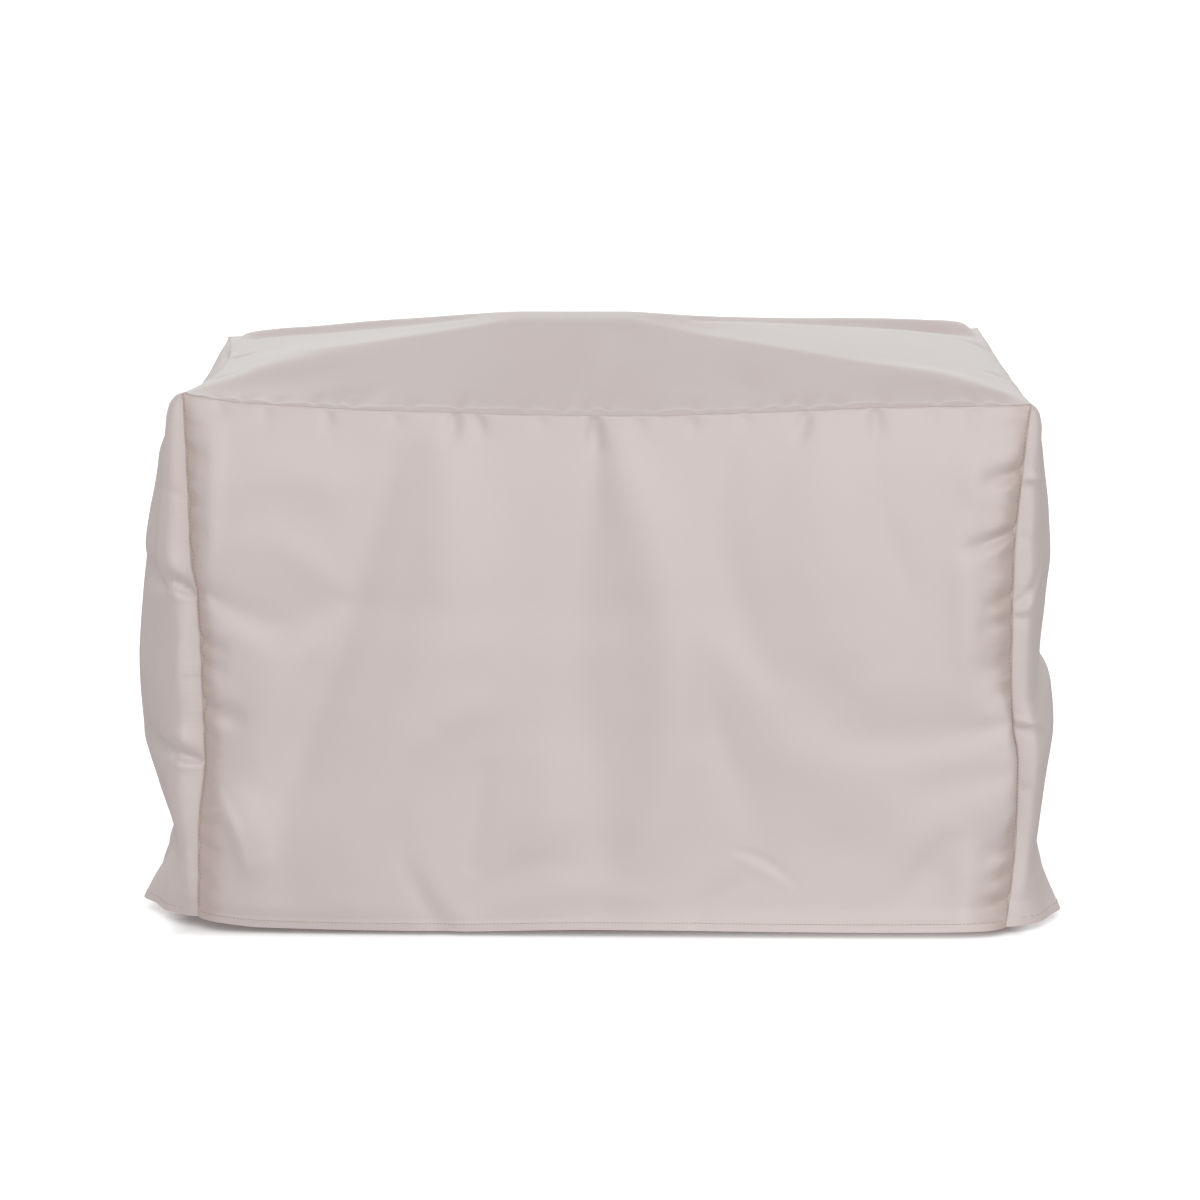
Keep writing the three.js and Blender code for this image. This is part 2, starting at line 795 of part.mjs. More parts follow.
// A closed solid from a sheet: its outside, its inside, and the four cut edges between them.
function solidSheet(name) {
  const { us, vs } = sheets[name];
  const positions = [];
  const faces = [];
  const rows = vs.length;
  const layer = us.length * rows;
  const pairs = us.map((_, i) => vs.map((__, j) => outerAndInner(name, i, j)));
  for (const side of [0, 1]) {
    for (const column of pairs) {
      for (const pair of column) positions.push(...pair[side].toArray());
    }
  }
  const at = (i, j, side) => side * layer + i * rows + j;
  for (let i = 0; i + 1 < us.length; i++) {
    for (let j = 0; j + 1 < rows; j++) {
      const rising = pairs[i][j][0].distanceTo(pairs[i + 1][j + 1][0]);
      const falling = pairs[i + 1][j][0].distanceTo(pairs[i][j + 1][0]);
      for (const side of [0, 1]) {
        const corners = [at(i, j, side), at(i + 1, j, side), at(i + 1, j + 1, side), at(i, j + 1, side)];
        const turned = rising < falling ? corners : [...corners.slice(1), corners[0]];
        const [a, b, c, d] = side === 0 ? turned : [...turned].reverse();
        // The inside is wound the other way round, on the same diagonal.
        if (side === 0) faces.push(a, b, c, a, c, d);
        else faces.push(b, c, d, b, d, a);
      }
    }
  }
  const border = [];
  for (let i = 0; i + 1 < us.length; i++) border.push([i, 0]);
  for (let j = 0; j + 1 < rows; j++) border.push([us.length - 1, j]);
  for (let i = us.length - 1; i > 0; i--) border.push([i, rows - 1]);
  for (let j = rows - 1; j > 0; j--) border.push([0, j]);
  border.forEach(([i, j], k) => {
    const [nextI, nextJ] = border[(k + 1) % border.length];
    const a = at(i, j, 0);
    const b = at(nextI, nextJ, 0);
    const c = at(nextI, nextJ, 1);
    const d = at(i, j, 1);
    faces.push(a, d, c, a, c, b);
  });
  const geometry = new THREE.BufferGeometry();
  geometry.setAttribute("position", new THREE.Float32BufferAttribute(positions, 3));
  geometry.setIndex(faces);
  geometry.computeVertexNormals();
  return geometry;
}

const cover = new THREE.Group();
cover.position.set(-CENTRE.x, -CENTRE.y, -CENTRE.z);
for (const name of Object.keys(sheets)) {
  const cloth = new THREE.MeshStandardMaterial({
    color: CLOTH_COLOUR,
    roughness: CLOTH_ROUGHNESS,
    metalness: 0,
  });
  const panel = new THREE.Mesh(solidSheet(name), cloth);
  panel.name = name;
  cover.add(panel);
}

export default cover;
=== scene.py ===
import bpy
import math
import numpy as np
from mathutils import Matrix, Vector


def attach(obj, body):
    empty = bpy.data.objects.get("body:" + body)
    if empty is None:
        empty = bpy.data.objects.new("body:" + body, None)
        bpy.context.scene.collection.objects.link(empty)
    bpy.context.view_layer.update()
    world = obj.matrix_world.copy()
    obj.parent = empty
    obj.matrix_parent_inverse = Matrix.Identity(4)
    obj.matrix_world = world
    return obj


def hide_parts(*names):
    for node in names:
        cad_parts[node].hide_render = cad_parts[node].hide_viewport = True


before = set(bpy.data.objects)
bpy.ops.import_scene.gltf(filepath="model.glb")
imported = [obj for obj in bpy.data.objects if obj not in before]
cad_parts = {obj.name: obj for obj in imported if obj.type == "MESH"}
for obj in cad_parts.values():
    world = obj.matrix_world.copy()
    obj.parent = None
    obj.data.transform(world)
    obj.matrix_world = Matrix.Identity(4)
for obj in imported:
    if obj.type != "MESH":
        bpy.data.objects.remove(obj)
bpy.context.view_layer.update()  # metres; the hem's middle is at the origin, +X right, +Y back, +Z up


# Camera. It stands in front of the cover and looks down on it through a long lens,
# so that the front panel is almost square on and the top shows as a low band.
SENSOR_WIDTH = 36  # mm
LENS = 93  # mm
CAMERA_PLACE = (0.0069, -5.3878, 1.845)
LOOKS_DOWN = 14.13  # degrees

camera_data = bpy.data.cameras.new("camera")
camera_data.sensor_width = SENSOR_WIDTH
camera_data.lens = LENS
camera = bpy.data.objects.new("camera", camera_data)
camera.location = CAMERA_PLACE
camera.rotation_euler = (math.radians(90 - LOOKS_DOWN), 0, 0)
bpy.context.scene.collection.objects.link(camera)
bpy.context.scene.camera = camera


# Studio. A plain white floor just under the hem, even light from all sides as in a light
# tent, and one large soft box in front at the cover's height, for the sheen of its cloth.
FLOOR_HEIGHT = -0.008
FLOOR_REACH = 40
FLOOR_WHITE = 0.95
FLOOR_GLOW = 0.35  # lifts the shadow round the hem, but not the dark under the cover
FLOOR_UNEVEN = 0.01
COVERED = (0.7, 0.35)  # half the width and half the depth of the floor inside the hem
COVERED_EDGE = 0.06  # way over which the glow comes back outside it
EVEN_LIGHT = 0.98  # what lights the cloth from all round
WALL_LIGHT = 1.1  # what its sheen shows, by height
CEILING_LIGHT = 0.35
CEILING_EDGE = (0.3, 0.7)  # rise of the directions between which the walls fade into it
BELOW_LIGHT = 0.35
BELOW_EDGE = (-0.02, 0.16)  # and of those between which the light below fades into the walls
BACK_LIGHT = 1.0  # more of it low at the back, for the ends of the top
BACK_EDGE = (0.78, 0.97)  # how squarely back a direction points where it starts and is full
BACK_COOLNESS = 0.16  # share of red that the light at the back lacks
BOX_TOWARDS = (0.22, -1, 0.06)
BOX_LIGHT = 3.3
BOX_EDGE = (math.cos(math.radians(46)), math.cos(math.radians(12)))  # fades over these angles
ABOVE_FROM = (-0.1, -0.1, 1)
ABOVE_SPREAD = math.radians(80)
ABOVE_STRENGTH = 0.36


class Wire:
    """A socket of a shader: sums on it add Math nodes, and node() adds any other node."""

    def __init__(self, tree, socket=None):
        self.tree = tree
        self.socket = socket

    def node(self, kind, settings, inputs, output=0):
        """Adds a node: first its settings, then the values or wires of its sockets."""
        made = self.tree.nodes.new("ShaderNode" + kind)
        for name, value in settings.items():
            setattr(made, name, value)
        for name, value in inputs.items():
            if isinstance(value, Wire):
                self.tree.links.new(value.socket, made.inputs[name])
            else:
                made.inputs[name].default_value = value
        return Wire(self.tree, made.outputs[output] if len(made.outputs) else None)

    def output(self, name):
        """Another output of the node that this wire comes from."""
        return Wire(self.tree, self.socket.node.outputs[name])

    def math(self, operation, *others):
        return self.node("Math", {"operation": operation}, dict(enumerate((self, *others))))

    def __add__(self, other):
        return self.math("ADD", other)

    def __sub__(self, other):
        return self.math("SUBTRACT", other)

    def __rsub__(self, other):
        return self.node("Math", {"operation": "SUBTRACT"}, {0: other, 1: self})

    def __mul__(self, other):
        return self.math("MULTIPLY", other)

    __radd__ = __add__
    __rmul__ = __mul__


def new_material(name):
    """An empty material, and the wire that its nodes are added with."""
    material = bpy.data.materials.new(name)
    material.use_nodes = True
    material.node_tree.nodes.clear()
    return material, Wire(material.node_tree)


def ramp(value, edge, low=0.0, high=1.0, kind="SMOOTHSTEP"):
    """low where a value is under the first edge, high where it is over the second."""
    limits = {"From Min": edge[0], "From Max": edge[1], "To Min": low, "To Max": high}
    return value.node("MapRange", {"interpolation_type": kind}, {"Value": value, **limits})


def noise(place, scale, detail):
    """Smooth noise round a half. scale is how many lumps there are to one unit of place."""
    return place.node("TexNoise", {}, {"Vector": place, "Scale": scale, "Detail": detail}, "Fac")


def floor_finish():
    """Matt white, with a glow that stops where the cover stands."""
    material, shade = new_material("studio_floor")
    place = shade.node("TexCoord", {}, {}, "Object")
    white = FLOOR_WHITE + FLOOR_UNEVEN * (noise(place, scale=3.0, detail=4.0) - 0.5)
    colour = shade.node("CombineColor", {}, {0: white, 1: white, 2: white})
    surface = shade.node("BsdfDiffuse", {}, {"Color": colour})
    aside = shade.node("SeparateXYZ", {}, {"Vector": place}, "X")
    past_side = aside.math("ABSOLUTE") - COVERED[0]
    past_front = aside.output("Y").math("ABSOLUTE") - COVERED[1]
    lifted = ramp(past_side.math("MAXIMUM", past_front), (0.0, COVERED_EDGE)) * white
    glow_colour = shade.node("CombineColor", {}, {0: lifted, 1: lifted, 2: lifted})
    glow = shade.node("Emission", {}, {"Color": glow_colour, "Strength": FLOOR_GLOW})
    both = shade.node("AddShader", {}, {0: surface, 1: glow})
    shade.node("OutputMaterial", {}, {"Surface": both})
    return material


def light_studio():
    """The floor, the light from all round with its soft box, and a broad lamp above."""
    floor_mesh = bpy.data.meshes.new("studio_floor")
    r = FLOOR_REACH
    floor_mesh.from_pydata([(-r, -r, 0), (r, -r, 0), (r, r, 0), (-r, r, 0)], [], [(0, 1, 2, 3)])
    floor = bpy.data.objects.new("studio_floor", floor_mesh)
    floor.location.z = FLOOR_HEIGHT
    floor_mesh.materials.append(floor_finish())
    bpy.context.scene.collection.objects.link(floor)

    # The floor is only for the camera: the cover takes no light back from it.
    floor.visible_diffuse = False
    floor.visible_glossy = False

    world = bpy.data.worlds.new("studio")
    world.use_nodes = True
    world.node_tree.nodes.clear()
    sky = Wire(world.node_tree)
    toward = sky.node("TexCoord", {}, {}, "Generated")
    rise = sky.node("SeparateXYZ", {}, {"Vector": toward}, "Z")
    above = ramp(rise, CEILING_EDGE, WALL_LIGHT, CEILING_LIGHT)
    below = ramp(rise, BELOW_EDGE, kind="LINEAR")
    box_way = Vector(BOX_TOWARDS).normalized()
    facing = sky.node("VectorMath", {"operation": "DOT_PRODUCT"}, {0: toward, 1: box_way}, "Value")
    box = ramp(facing, BOX_EDGE, high=BOX_LIGHT)
    back_glow = ramp(rise.output("Y"), BACK_EDGE, high=BACK_LIGHT)
    shown = BELOW_LIGHT + (above + back_glow - BELOW_LIGHT) * below + box
    glossy = sky.node("LightPath", {}, {}, "Is Glossy Ray")
    strength = EVEN_LIGHT + (shown - EVEN_LIGHT) * glossy
    red = 1 - BACK_COOLNESS / BACK_LIGHT * back_glow * glossy
    cool = sky.node("CombineColor", {}, {0: red, 1: 1.0, 2: 1.0})
    light = sky.node("Background", {}, {"Color": cool, "Strength": strength})
    sky.node("OutputWorld", {}, {"Surface": light})
    bpy.context.scene.world = world

    lamp_data = bpy.data.lights.new("above_light", "SUN")
    lamp_data.angle = ABOVE_SPREAD
    lamp_data.energy = ABOVE_STRENGTH
    lamp = bpy.data.objects.new("above_light", lamp_data)
    lamp.rotation_euler = Vector(ABOVE_FROM).to_track_quat("Z", "Y").to_euler()
    bpy.context.scene.collection.objects.link(lamp)

    view = bpy.context.scene.view_settings
    view.view_transform = "Standard"
    view.look = "None"


light_studio()


# Seam lines. Four corner seams join the walls to each other, and four more join them to the
# top. Every panel is cut to these lines, which lean, sag and kink where the cloth pulls.
WIDTH = 1.4  # between the corner seams, along the front
DEPTH = 0.696  # between the corner seams, from front to back
DROP = 0.915  # from the top seam down to the hem, along the cloth
SEAMS_MIDDLE = np.array([-0.01894, 0.00189, 0.00103])  # the cover's origin, among the seams
MM = 0.001


def table(columns, *rows):
    """Rows of lengths in millimetres, as one array of metres for each named column."""
    return dict(zip(columns.split(), np.array(rows, float).T * MM))


def read(places, values, at):
    """Values between the rows, on a curve that goes through each row and never swings past it."""
    at = np.asarray(at, float)
    values = values.reshape(values.shape + (1,) * (at.ndim + 1 - values.ndim))
    values = np.broadcast_to(values, (len(places),) + at.shape)
    steps = np.diff(places)
    slopes = np.diff(values, axis=0) / steps.reshape((-1,) + (1,) * at.ndim)
    before, after = slopes[:-1], slopes[1:]
    same_way = before * after > 0
    middle = np.where(same_way, 2 * before * after / np.where(same_way, before + after, 1), 0)
    tangents = np.concatenate([slopes[:1], middle, slopes[-1:]])
    row = np.clip(np.searchsorted(places, at) - 1, 0, len(places) - 2)
    start, end, leave, arrive = (
        np.take_along_axis(block, k[None], 0)[0]
        for block, k in ((values, row), (values, row + 1), (tangents, row), (tangents, row + 1))
    )
    t = np.clip((at - places[row]) / steps[row], 0, 1)
    bend = steps[row] * (leave * (1 - t) - arrive * t)
    return start + (end - start) * t * t * (3 - 2 * t) + t * (1 - t) * bend


CORNERS = {  # hem and top are the heights of a seam's ends in metres
    "front_left": dict(hem=0.013, top=0.930, line=table(
        "height x y",
        (0, -706, -336), (45, -704, -344), (165, -699, -348), (290, -684, -346),
        (400, -685, -348), (510, -686, -348), (578, -688, -346), (640, -697, -348),
        (780, -699, -348), (915, -702, -348),
    )),
    "front_right": dict(hem=0.005, top=0.911, line=table(
        "height x y",
        (0, 685, -370), (45, 692, -356), (170, 700, -348), (295, 698, -348),
        (368, 687, -346), (510, 682, -348), (645, 681, -348), (805, 691, -348),
        (915, 701, -348),
    )),
    "back_right": dict(hem=0.007, top=0.927, line=table(
        "height x y",
        (0, 694, 350), (180, 698, 346), (420, 689, 347), (640, 690, 347), (915, 694, 348),
    )),
    "back_left": dict(hem=0.009, top=0.911, line=table(
        "height x y",
        (0, -708, 344), (200, -702, 346), (450, -692, 347), (700, -698, 348), (915, -707, 348),
    )),
}

# Each section of the top runs from the front seam up to a crease, on to the crest and down to
# the back seam. Dip is the sag between crease and crest.
TENT = table(
    "x front crease_y crease crest_y crest back dip",
    (-700, 930, -60, 916, 130, 912, 911, 0),
    (-665, 924, -85, 923, 312, 924, 911, 1),
    (-610, 916, -92, 937, 286, 937, 911, 2),
    (-520, 911, -92, 951, 228, 954, 908, 3),
    (-430, 906, -75, 965, 170, 971, 906, 4),
    (-340, 903, -52, 979, 113, 985, 905, 3),
    (-250, 901, -38, 991, 62, 999, 905, 1),
    (-164, 898, -35, 1003, 20, 1010, 904, 0),
    (20, 896, -35, 1003, 20, 1010, 904, 0),
    (90, 896, -38, 991, 35, 1004, 905, 1),
    (150, 898, -55, 982, 55, 997, 907, 3),
    (250, 901, -95, 972, 105, 986, 909, 1),
    (356, 905, -150, 962, 163, 976, 913, -2),
    (450, 908, -188, 952, 214, 969, 916, -3),
    (521, 909, -208, 944, 253, 963, 919, -3),
    (600, 909, -213, 933, 290, 954, 923, -2),
    (665, 910, -205, 920, 312, 944, 925, 0),
    (700, 911, -195, 908, 192, 919, 927, 0),
)
CREASE_ROUNDING = 0.018  # half the width over which a crease of the top turns
CREASE_SAMPLES = 13
CREASE_END_WEIGHT = 0.02  # what the outermost samples count


def tent_height(u, t):
    """Height of the top at u across, from the left, and t deep, from the front, both 0 to 1:
    straight runs between the seams, the crease and the crest, rounded where they meet."""
    x, depth = np.broadcast_arrays((u - 0.5) * WIDTH, t * DEPTH)
    front, crease_y, crease, crest_y, crest, back, dip = (
        read(TENT["x"], TENT[column], x) for column in list(TENT)[1:]
    )
    crease_y, crest_y = crease_y + DEPTH / 2, crest_y + DEPTH / 2
    reach = np.minimum(CREASE_ROUNDING, np.minimum(depth, DEPTH - depth))
    total, weights = 0, 0
    for k in np.linspace(-1, 1, CREASE_SAMPLES):
        at = depth + k * reach
        rising = front + (crease - front) * at / crease_y
        middle = (at - crease_y) / (crest_y - crease_y)
        between = crease + (crest - crease) * middle - dip * 4 * middle * (1 - middle)
        falling = crest + (back - crest) * (at - crest_y) / (DEPTH - crest_y)
        height = np.where(at < crease_y, rising, np.where(at < crest_y, between, falling))
        weight = math.cos(k * math.pi / 2) + CREASE_END_WEIGHT
        total = total + weight * height
        weights += weight
    return total / weights


def corner_place(name, up):
    """Place of a corner seam at a height along the cloth: x, y and z in the last axis."""
    corner = CORNERS[name]
    line = corner["line"]
    x, y = (read(line["height"], line[axis], up) for axis in "xy")
    return np.stack([x, y, corner["hem"] + (corner["top"] - corner["hem"]) * up / DROP], -1)


# Front panel. One rectangle of coated polyester, hemmed along the bottom. It hangs slack, so
# broad soft folds run down it, and tucks run in from the kinks in its corner seams.
FOLD_STEPS = 6  # straight steps between two stations of a fold
FOLD_REACH = 3  # beyond this many widths a fold lifts nothing


def fold(*stations):
    """A fold from stations (across, up, width, rise) in millimetres: a ridge, or a trough below 0."""
    points = np.array(stations, float) * MM
    ends = np.concatenate([[2 * points[0] - points[1]], points, [2 * points[-1] - points[-2]]])
    gaps = np.hypot(*np.diff(ends[:, :2], axis=0).T) ** 0.5
    line = []
    for i in range(1, len(points)):
        p0, p1, p2, p3 = ends[i - 1:i + 3]
        d0, d1, d2 = gaps[i - 1:i + 2]
        leave = d1 * ((p1 - p0) / d0 - (p2 - p0) / (d0 + d1)) + p2 - p1
        arrive = d1 * ((p3 - p2) / d2 - (p3 - p1) / (d1 + d2)) + p2 - p1
        for t in np.arange(FOLD_STEPS) / FOLD_STEPS:
            ease = t * t * (3 - 2 * t)
            line.append(p1 + (p2 - p1) * ease + leave * t * (1 - t) ** 2 - arrive * t * t * (1 - t))
    return np.array(line + [points[-1]])


TUCK_SHAPE = (  # part of the length, share of the width, share of the rise
    (0, 0.7, 0.55), (0.35, 1, 1), (0.7, 1.3, 0.6), (1, 1.7, 0.05),
)


def tucks(*rows):
    """Short folds that start at a seam: rows (along, slant, length, width, rise) in millimetres.
    Their stations are given by the way into the cloth and the way along the seam."""
    lines = []
    for along, slant, length, width, rise in rows:
        stations = []
        for part, swell, height in TUCK_SHAPE:
            stations.append((length * part, along + slant * part, width * swell, rise * height))
        lines.append(fold(*stations))
    return lines


def lift(folds, across, up):
    """How far a set of folds lifts the cloth."""
    across, up = np.broadcast_arrays(across, up)
    total = np.zeros(across.shape)
    for line in folds:
        margin = FOLD_REACH * line[:, 2].max()
        low, high = line[:, :2].min(0) - margin, line[:, :2].max(0) + margin
        near = (across > low[0]) & (across < high[0]) & (up > low[1]) & (up < high[1])
        x, y = across[near], up[near]
        nearest = np.full(x.shape, np.inf)
        rise = np.zeros(x.shape)
        for a, b in zip(line[:-1], line[1:]):
            run, climb = (b - a)[:2]
            t = np.clip(((x - a[0]) * run + (y - a[1]) * climb) / (run**2 + climb**2), 0, 1)
            off = np.hypot(x - a[0] - run * t, y - a[1] - climb * t)
            ratio = off / (a[2] + (b[2] - a[2]) * t)
            closer = ratio < nearest
            nearest = np.where(closer, ratio, nearest)
            rise = np.where(closer, a[3] + (b[3] - a[3]) * t, rise)
        total[near] += rise * np.exp(-(nearest**2))
    return total


def away(distance, relief):
    """0 on a seam, 1 well away from it."""
    return 1 - np.exp(-((distance / relief) ** 2))


FOLD_RELIEF = 0.012  # broad folds fade out over this distance from a seam
TUCK_RELIEF = 0.004  # tucks reach almost to the stitches
CRISP_SHARE = 0.65  # of a wall's fall: the rest comes over a longer way
SLOW_REACH = 4  # how much longer that way is
NORMAL_STEP = 0.0008


def rise_from_seam(distance, reach):
    """Share of a wall's fall that its cloth has at a distance from a seam."""
    slow = np.tanh(distance / (SLOW_REACH * reach))
    return CRISP_SHARE * np.tanh(distance / reach) + (1 - CRISP_SHARE) * slow


def hung_place(wall, across, up):
    """Place of a wall's cloth without its tucks, and how far it is along the cloth from the two
    corner seams. They and the top's edge hold it; it bellies out between."""
    u = across / wall["length"]
    from_seam, to_seam = (corner_place(corner, up) for corner in wall["corners"])
    between = from_seam * (1 - u)[..., None] + to_seam * u[..., None]
    fall, start_reach, end_reach, belly = (
        read(wall["sections"]["height"], wall["sections"][k], up)
        for k in ("fall", "reach", "end_reach", "round")
    )
    start = rise_from_seam(across, start_reach)
    end = rise_from_seam(wall["length"] - across, end_reach)
    beside = np.minimum(across, wall["length"] - across)
    held = away(beside, FOLD_RELIEF) * away(DROP - up, FOLD_RELIEF)
    folded = lift(wall["folds"].values(), across, up) * held
    out = fall * start * end + belly * 4 * u * (1 - u) + folded
    place = between + out[..., None] * np.array(wall["outward"], float)
    hem = read(wall["hem"]["across"], wall["hem"]["height"], across)
    top = tent_height(*wall["top_edge"](u))
    place[..., 2] = hem + (top - hem) * up / DROP
    return place, across + fall * start, wall["length"] - across + fall * end


def wall_place(wall, across, up):
    """Place of a wall's cloth, with the tucks that stand up from it beside its seams."""
    across, up = np.broadcast_arrays(across, up)
    place, from_start, from_end = hung_place(wall, across, up)
    right_or_left = np.where(across < wall["length"] / 2, 1, -1)
    up_or_down = np.where(up < DROP / 2, 1, -1)
    beside = hung_place(wall, across + right_or_left * NORMAL_STEP, up)[0]
    along = hung_place(wall, across, up + up_or_down * NORMAL_STEP)[0]
    normal = np.cross(beside - place, along - place) * (right_or_left * up_or_down)[..., None]
    normal /= np.linalg.norm(normal, axis=-1, keepdims=True)
    ways = {"start": (from_start, up), "end": (from_end, up), "top": (DROP - up, across)}
    rise = sum(lift(lines, *ways[seam]) for seam, lines in wall["tucks"].items())
    held = away(np.minimum(from_start, from_end), TUCK_RELIEF) * away(DROP - up, TUCK_RELIEF)
    return place + (rise * held)[..., None] * normal


EDGE_CROWDING = 1.6  # how much closer the fine steps get towards an edge


def spread(length, start, end, pitch):
    """Places along a sheet's edge. start and end are (how far the fine steps reach, how many)."""
    places = [0]
    (start_reach, start_count), (end_reach, end_count) = start, end
    places += [start_reach * (k / start_count) ** EDGE_CROWDING for k in range(1, start_count + 1)]
    middle = length - start_reach - end_reach
    count = round(middle / pitch)
    places += [start_reach + middle * k / count for k in range(1, count)]
    places += [length - end_reach * (k / end_count) ** EDGE_CROWDING for k in range(end_count, 0, -1)]
    return np.array(places + [length])


CLOTH = 0.0008  # thickness of the coated cloth
HEM_CLOTH = 0.0022  # thickness of the turned-up hem
HEM_WIDTH = 0.015
HEM_EDGE = 0.003  # way over which the hem's edge sinks to the single cloth
HEM_STEP = (HEM_CLOTH - CLOTH) * 0.5  # how far its outside stands out
SEAM_GAP = 0.0004  # between the two cloths in a seam
SEAM_LIP = 0.0016  # depth to which the cloth rolls into the seam
SEAM_LIP_WIDTH = 0.0024
ALLOWANCE = (0.0016, 0.004, 0.009)  # how deep the turned-in seam allowance goes, in steps


def unit(way):
    """A direction with a length of 1."""
    return np.array(way, float) / np.linalg.norm(way)


def sew_edges(places, distances, inwards):
    """Rolls a grid of points into its seams, and adds the turned-in allowance on each sewn side."""
    sides = [("left", 0, True), ("right", 0, False), ("bottom", 1, True), ("top", 1, False)]
    sewn = [(*side, unit(inwards[side[0]])) for side in sides if side[0] in inwards]
    for side, axis, at_start, inward in sewn:
        ends = np.take(places, [0, 1] if at_start else [-1, -2], axis)
        own = np.take(ends, 1, axis) - np.take(ends, 0, axis)
        own -= (own @ inward)[..., None] * inward
        aside = own / np.linalg.norm(own, axis=-1, keepdims=True)
        aside = np.expand_dims(aside, axis)
        near = np.exp(-((distances[side] / SEAM_LIP_WIDTH) ** 2))[..., None]
        places = places + near * (inward * SEAM_LIP + aside * SEAM_GAP / 2)
    for side, axis, at_start, inward in sewn:
        edge = np.take(places, [0 if at_start else -1], axis)
        flap = [edge + inward * depth for depth in ALLOWANCE]
        pieces = flap[::-1] + [places] if at_start else [places] + flap
        places = np.concatenate(pieces, axis)
    return places


def padded_numbers(values, at_start, at_end):
    """A row of numbers with its end values repeated where a seam allowance is turned in."""
    count = len(ALLOWANCE)
    return np.pad(values, (count * at_start, count * at_end), mode="edge")


def grid_normals(places):
    """Outward direction at each point of a grid, from its neighbours."""
    along = np.gradient(places, axis=0)
    up = np.gradient(places, axis=1)
    normal = np.cross(along, up)
    return normal / np.linalg.norm(normal, axis=-1, keepdims=True)


def sheet_mesh(name, places, thickness, across, up, seam_side, seam_end, groove):
    """A closed sheet: its outside, its inside, and the cut edges between them.
    across and up are kept as a map in metres; the distances to the seams, and how deep a place
    lies in the groove of a corner seam, are attributes."""
    columns, rows = places.shape[:2]
    inside = places - grid_normals(places) * thickness[..., None]
    points = np.concatenate([places.reshape(-1, 3), inside.reshape(-1, 3)]) - SEAMS_MIDDLE
    index = np.arange(columns * rows).reshape(columns, rows)
    quads = np.stack([index[:-1, :-1], index[1:, :-1], index[1:, 1:], index[:-1, 1:]], -1)
    quads = quads.reshape(-1, 4)
    border = np.concatenate([index[:-1, 0], index[-1, :-1], index[:0:-1, -1], index[0, :0:-1]])
    after = np.roll(border, -1)
    shift = columns * rows
    rim = np.stack([border, border + shift, after + shift, after], -1)
    faces = np.concatenate([quads, quads[:, ::-1] + shift, rim])
    mesh = bpy.data.meshes.new(name)
    mesh.vertices.add(len(points))
    mesh.vertices.foreach_set("co", points.ravel())
    mesh.loops.add(faces.size)
    mesh.loops.foreach_set("vertex_index", faces.ravel())
    mesh.polygons.add(len(faces))
    mesh.polygons.foreach_set("loop_start", np.arange(0, faces.size, 4))
    mesh.update(calc_edges=True)
    mesh.polygons.foreach_set("use_smooth", np.ones(len(faces), bool))
    mesh.set_sharp_from_angle(angle=math.radians(60))
    cut = np.stack(np.broadcast_arrays(across, up), -1).reshape(-1, 2)
    cut = np.concatenate([cut, cut])
    mesh.uv_layers.new(name="cut").data.foreach_set("uv", cut[faces.ravel()].ravel())
    for label, values in (("seam_side", seam_side), ("seam_end", seam_end), ("groove", groove)):
        values = np.broadcast_to(values, places.shape[:2]).ravel()
        attribute = mesh.attributes.new(label, "FLOAT", "POINT")
        attribute.data.foreach_set("value", np.concatenate([values, values]).astype(np.float32))
    return mesh


WEAVE_PITCH = 0.0006
WEAVE_RELIEF = 0.0002
PUCKER_RELIEF = 0.0006
SLACK_RELIEF = 0.0012
PUCKERS = (38.0, 105.0)  # how many a metre, away from the seam and along it
SIDE_PUCKER_FADE = 90.0  # how soon they fade away from the side seams, per metre
END_PUCKER_FADE = 80.0  # and from the others
# Painted shade in the grooves beside the corner seams: a darker tan, in uneven patches.
PAINTED_SHADE_PATCHES = (14.0, 42.0)  # how many a metre, away from the seam and along it
PAINTED_SHADE_CONTRAST = 2.6  # how strongly its patches differ
PAINTED_SHADE_BARE = 0.3  # taken off them everywhere
PAINTED_SHADE_EDGE = (0.05, 0.85)  # where it starts to show, and where it is full
CLOTH_TINTS = ((0.505, 0.430, 0.413, 1), (0.535, 0.458, 0.441, 1))
PAINTED_SHADE_TINT = (0.455, 0.365, 0.330, 1)
CLOTH_ROUGHNESS = 0.44
CLOTH_UNEVEN = 0.06


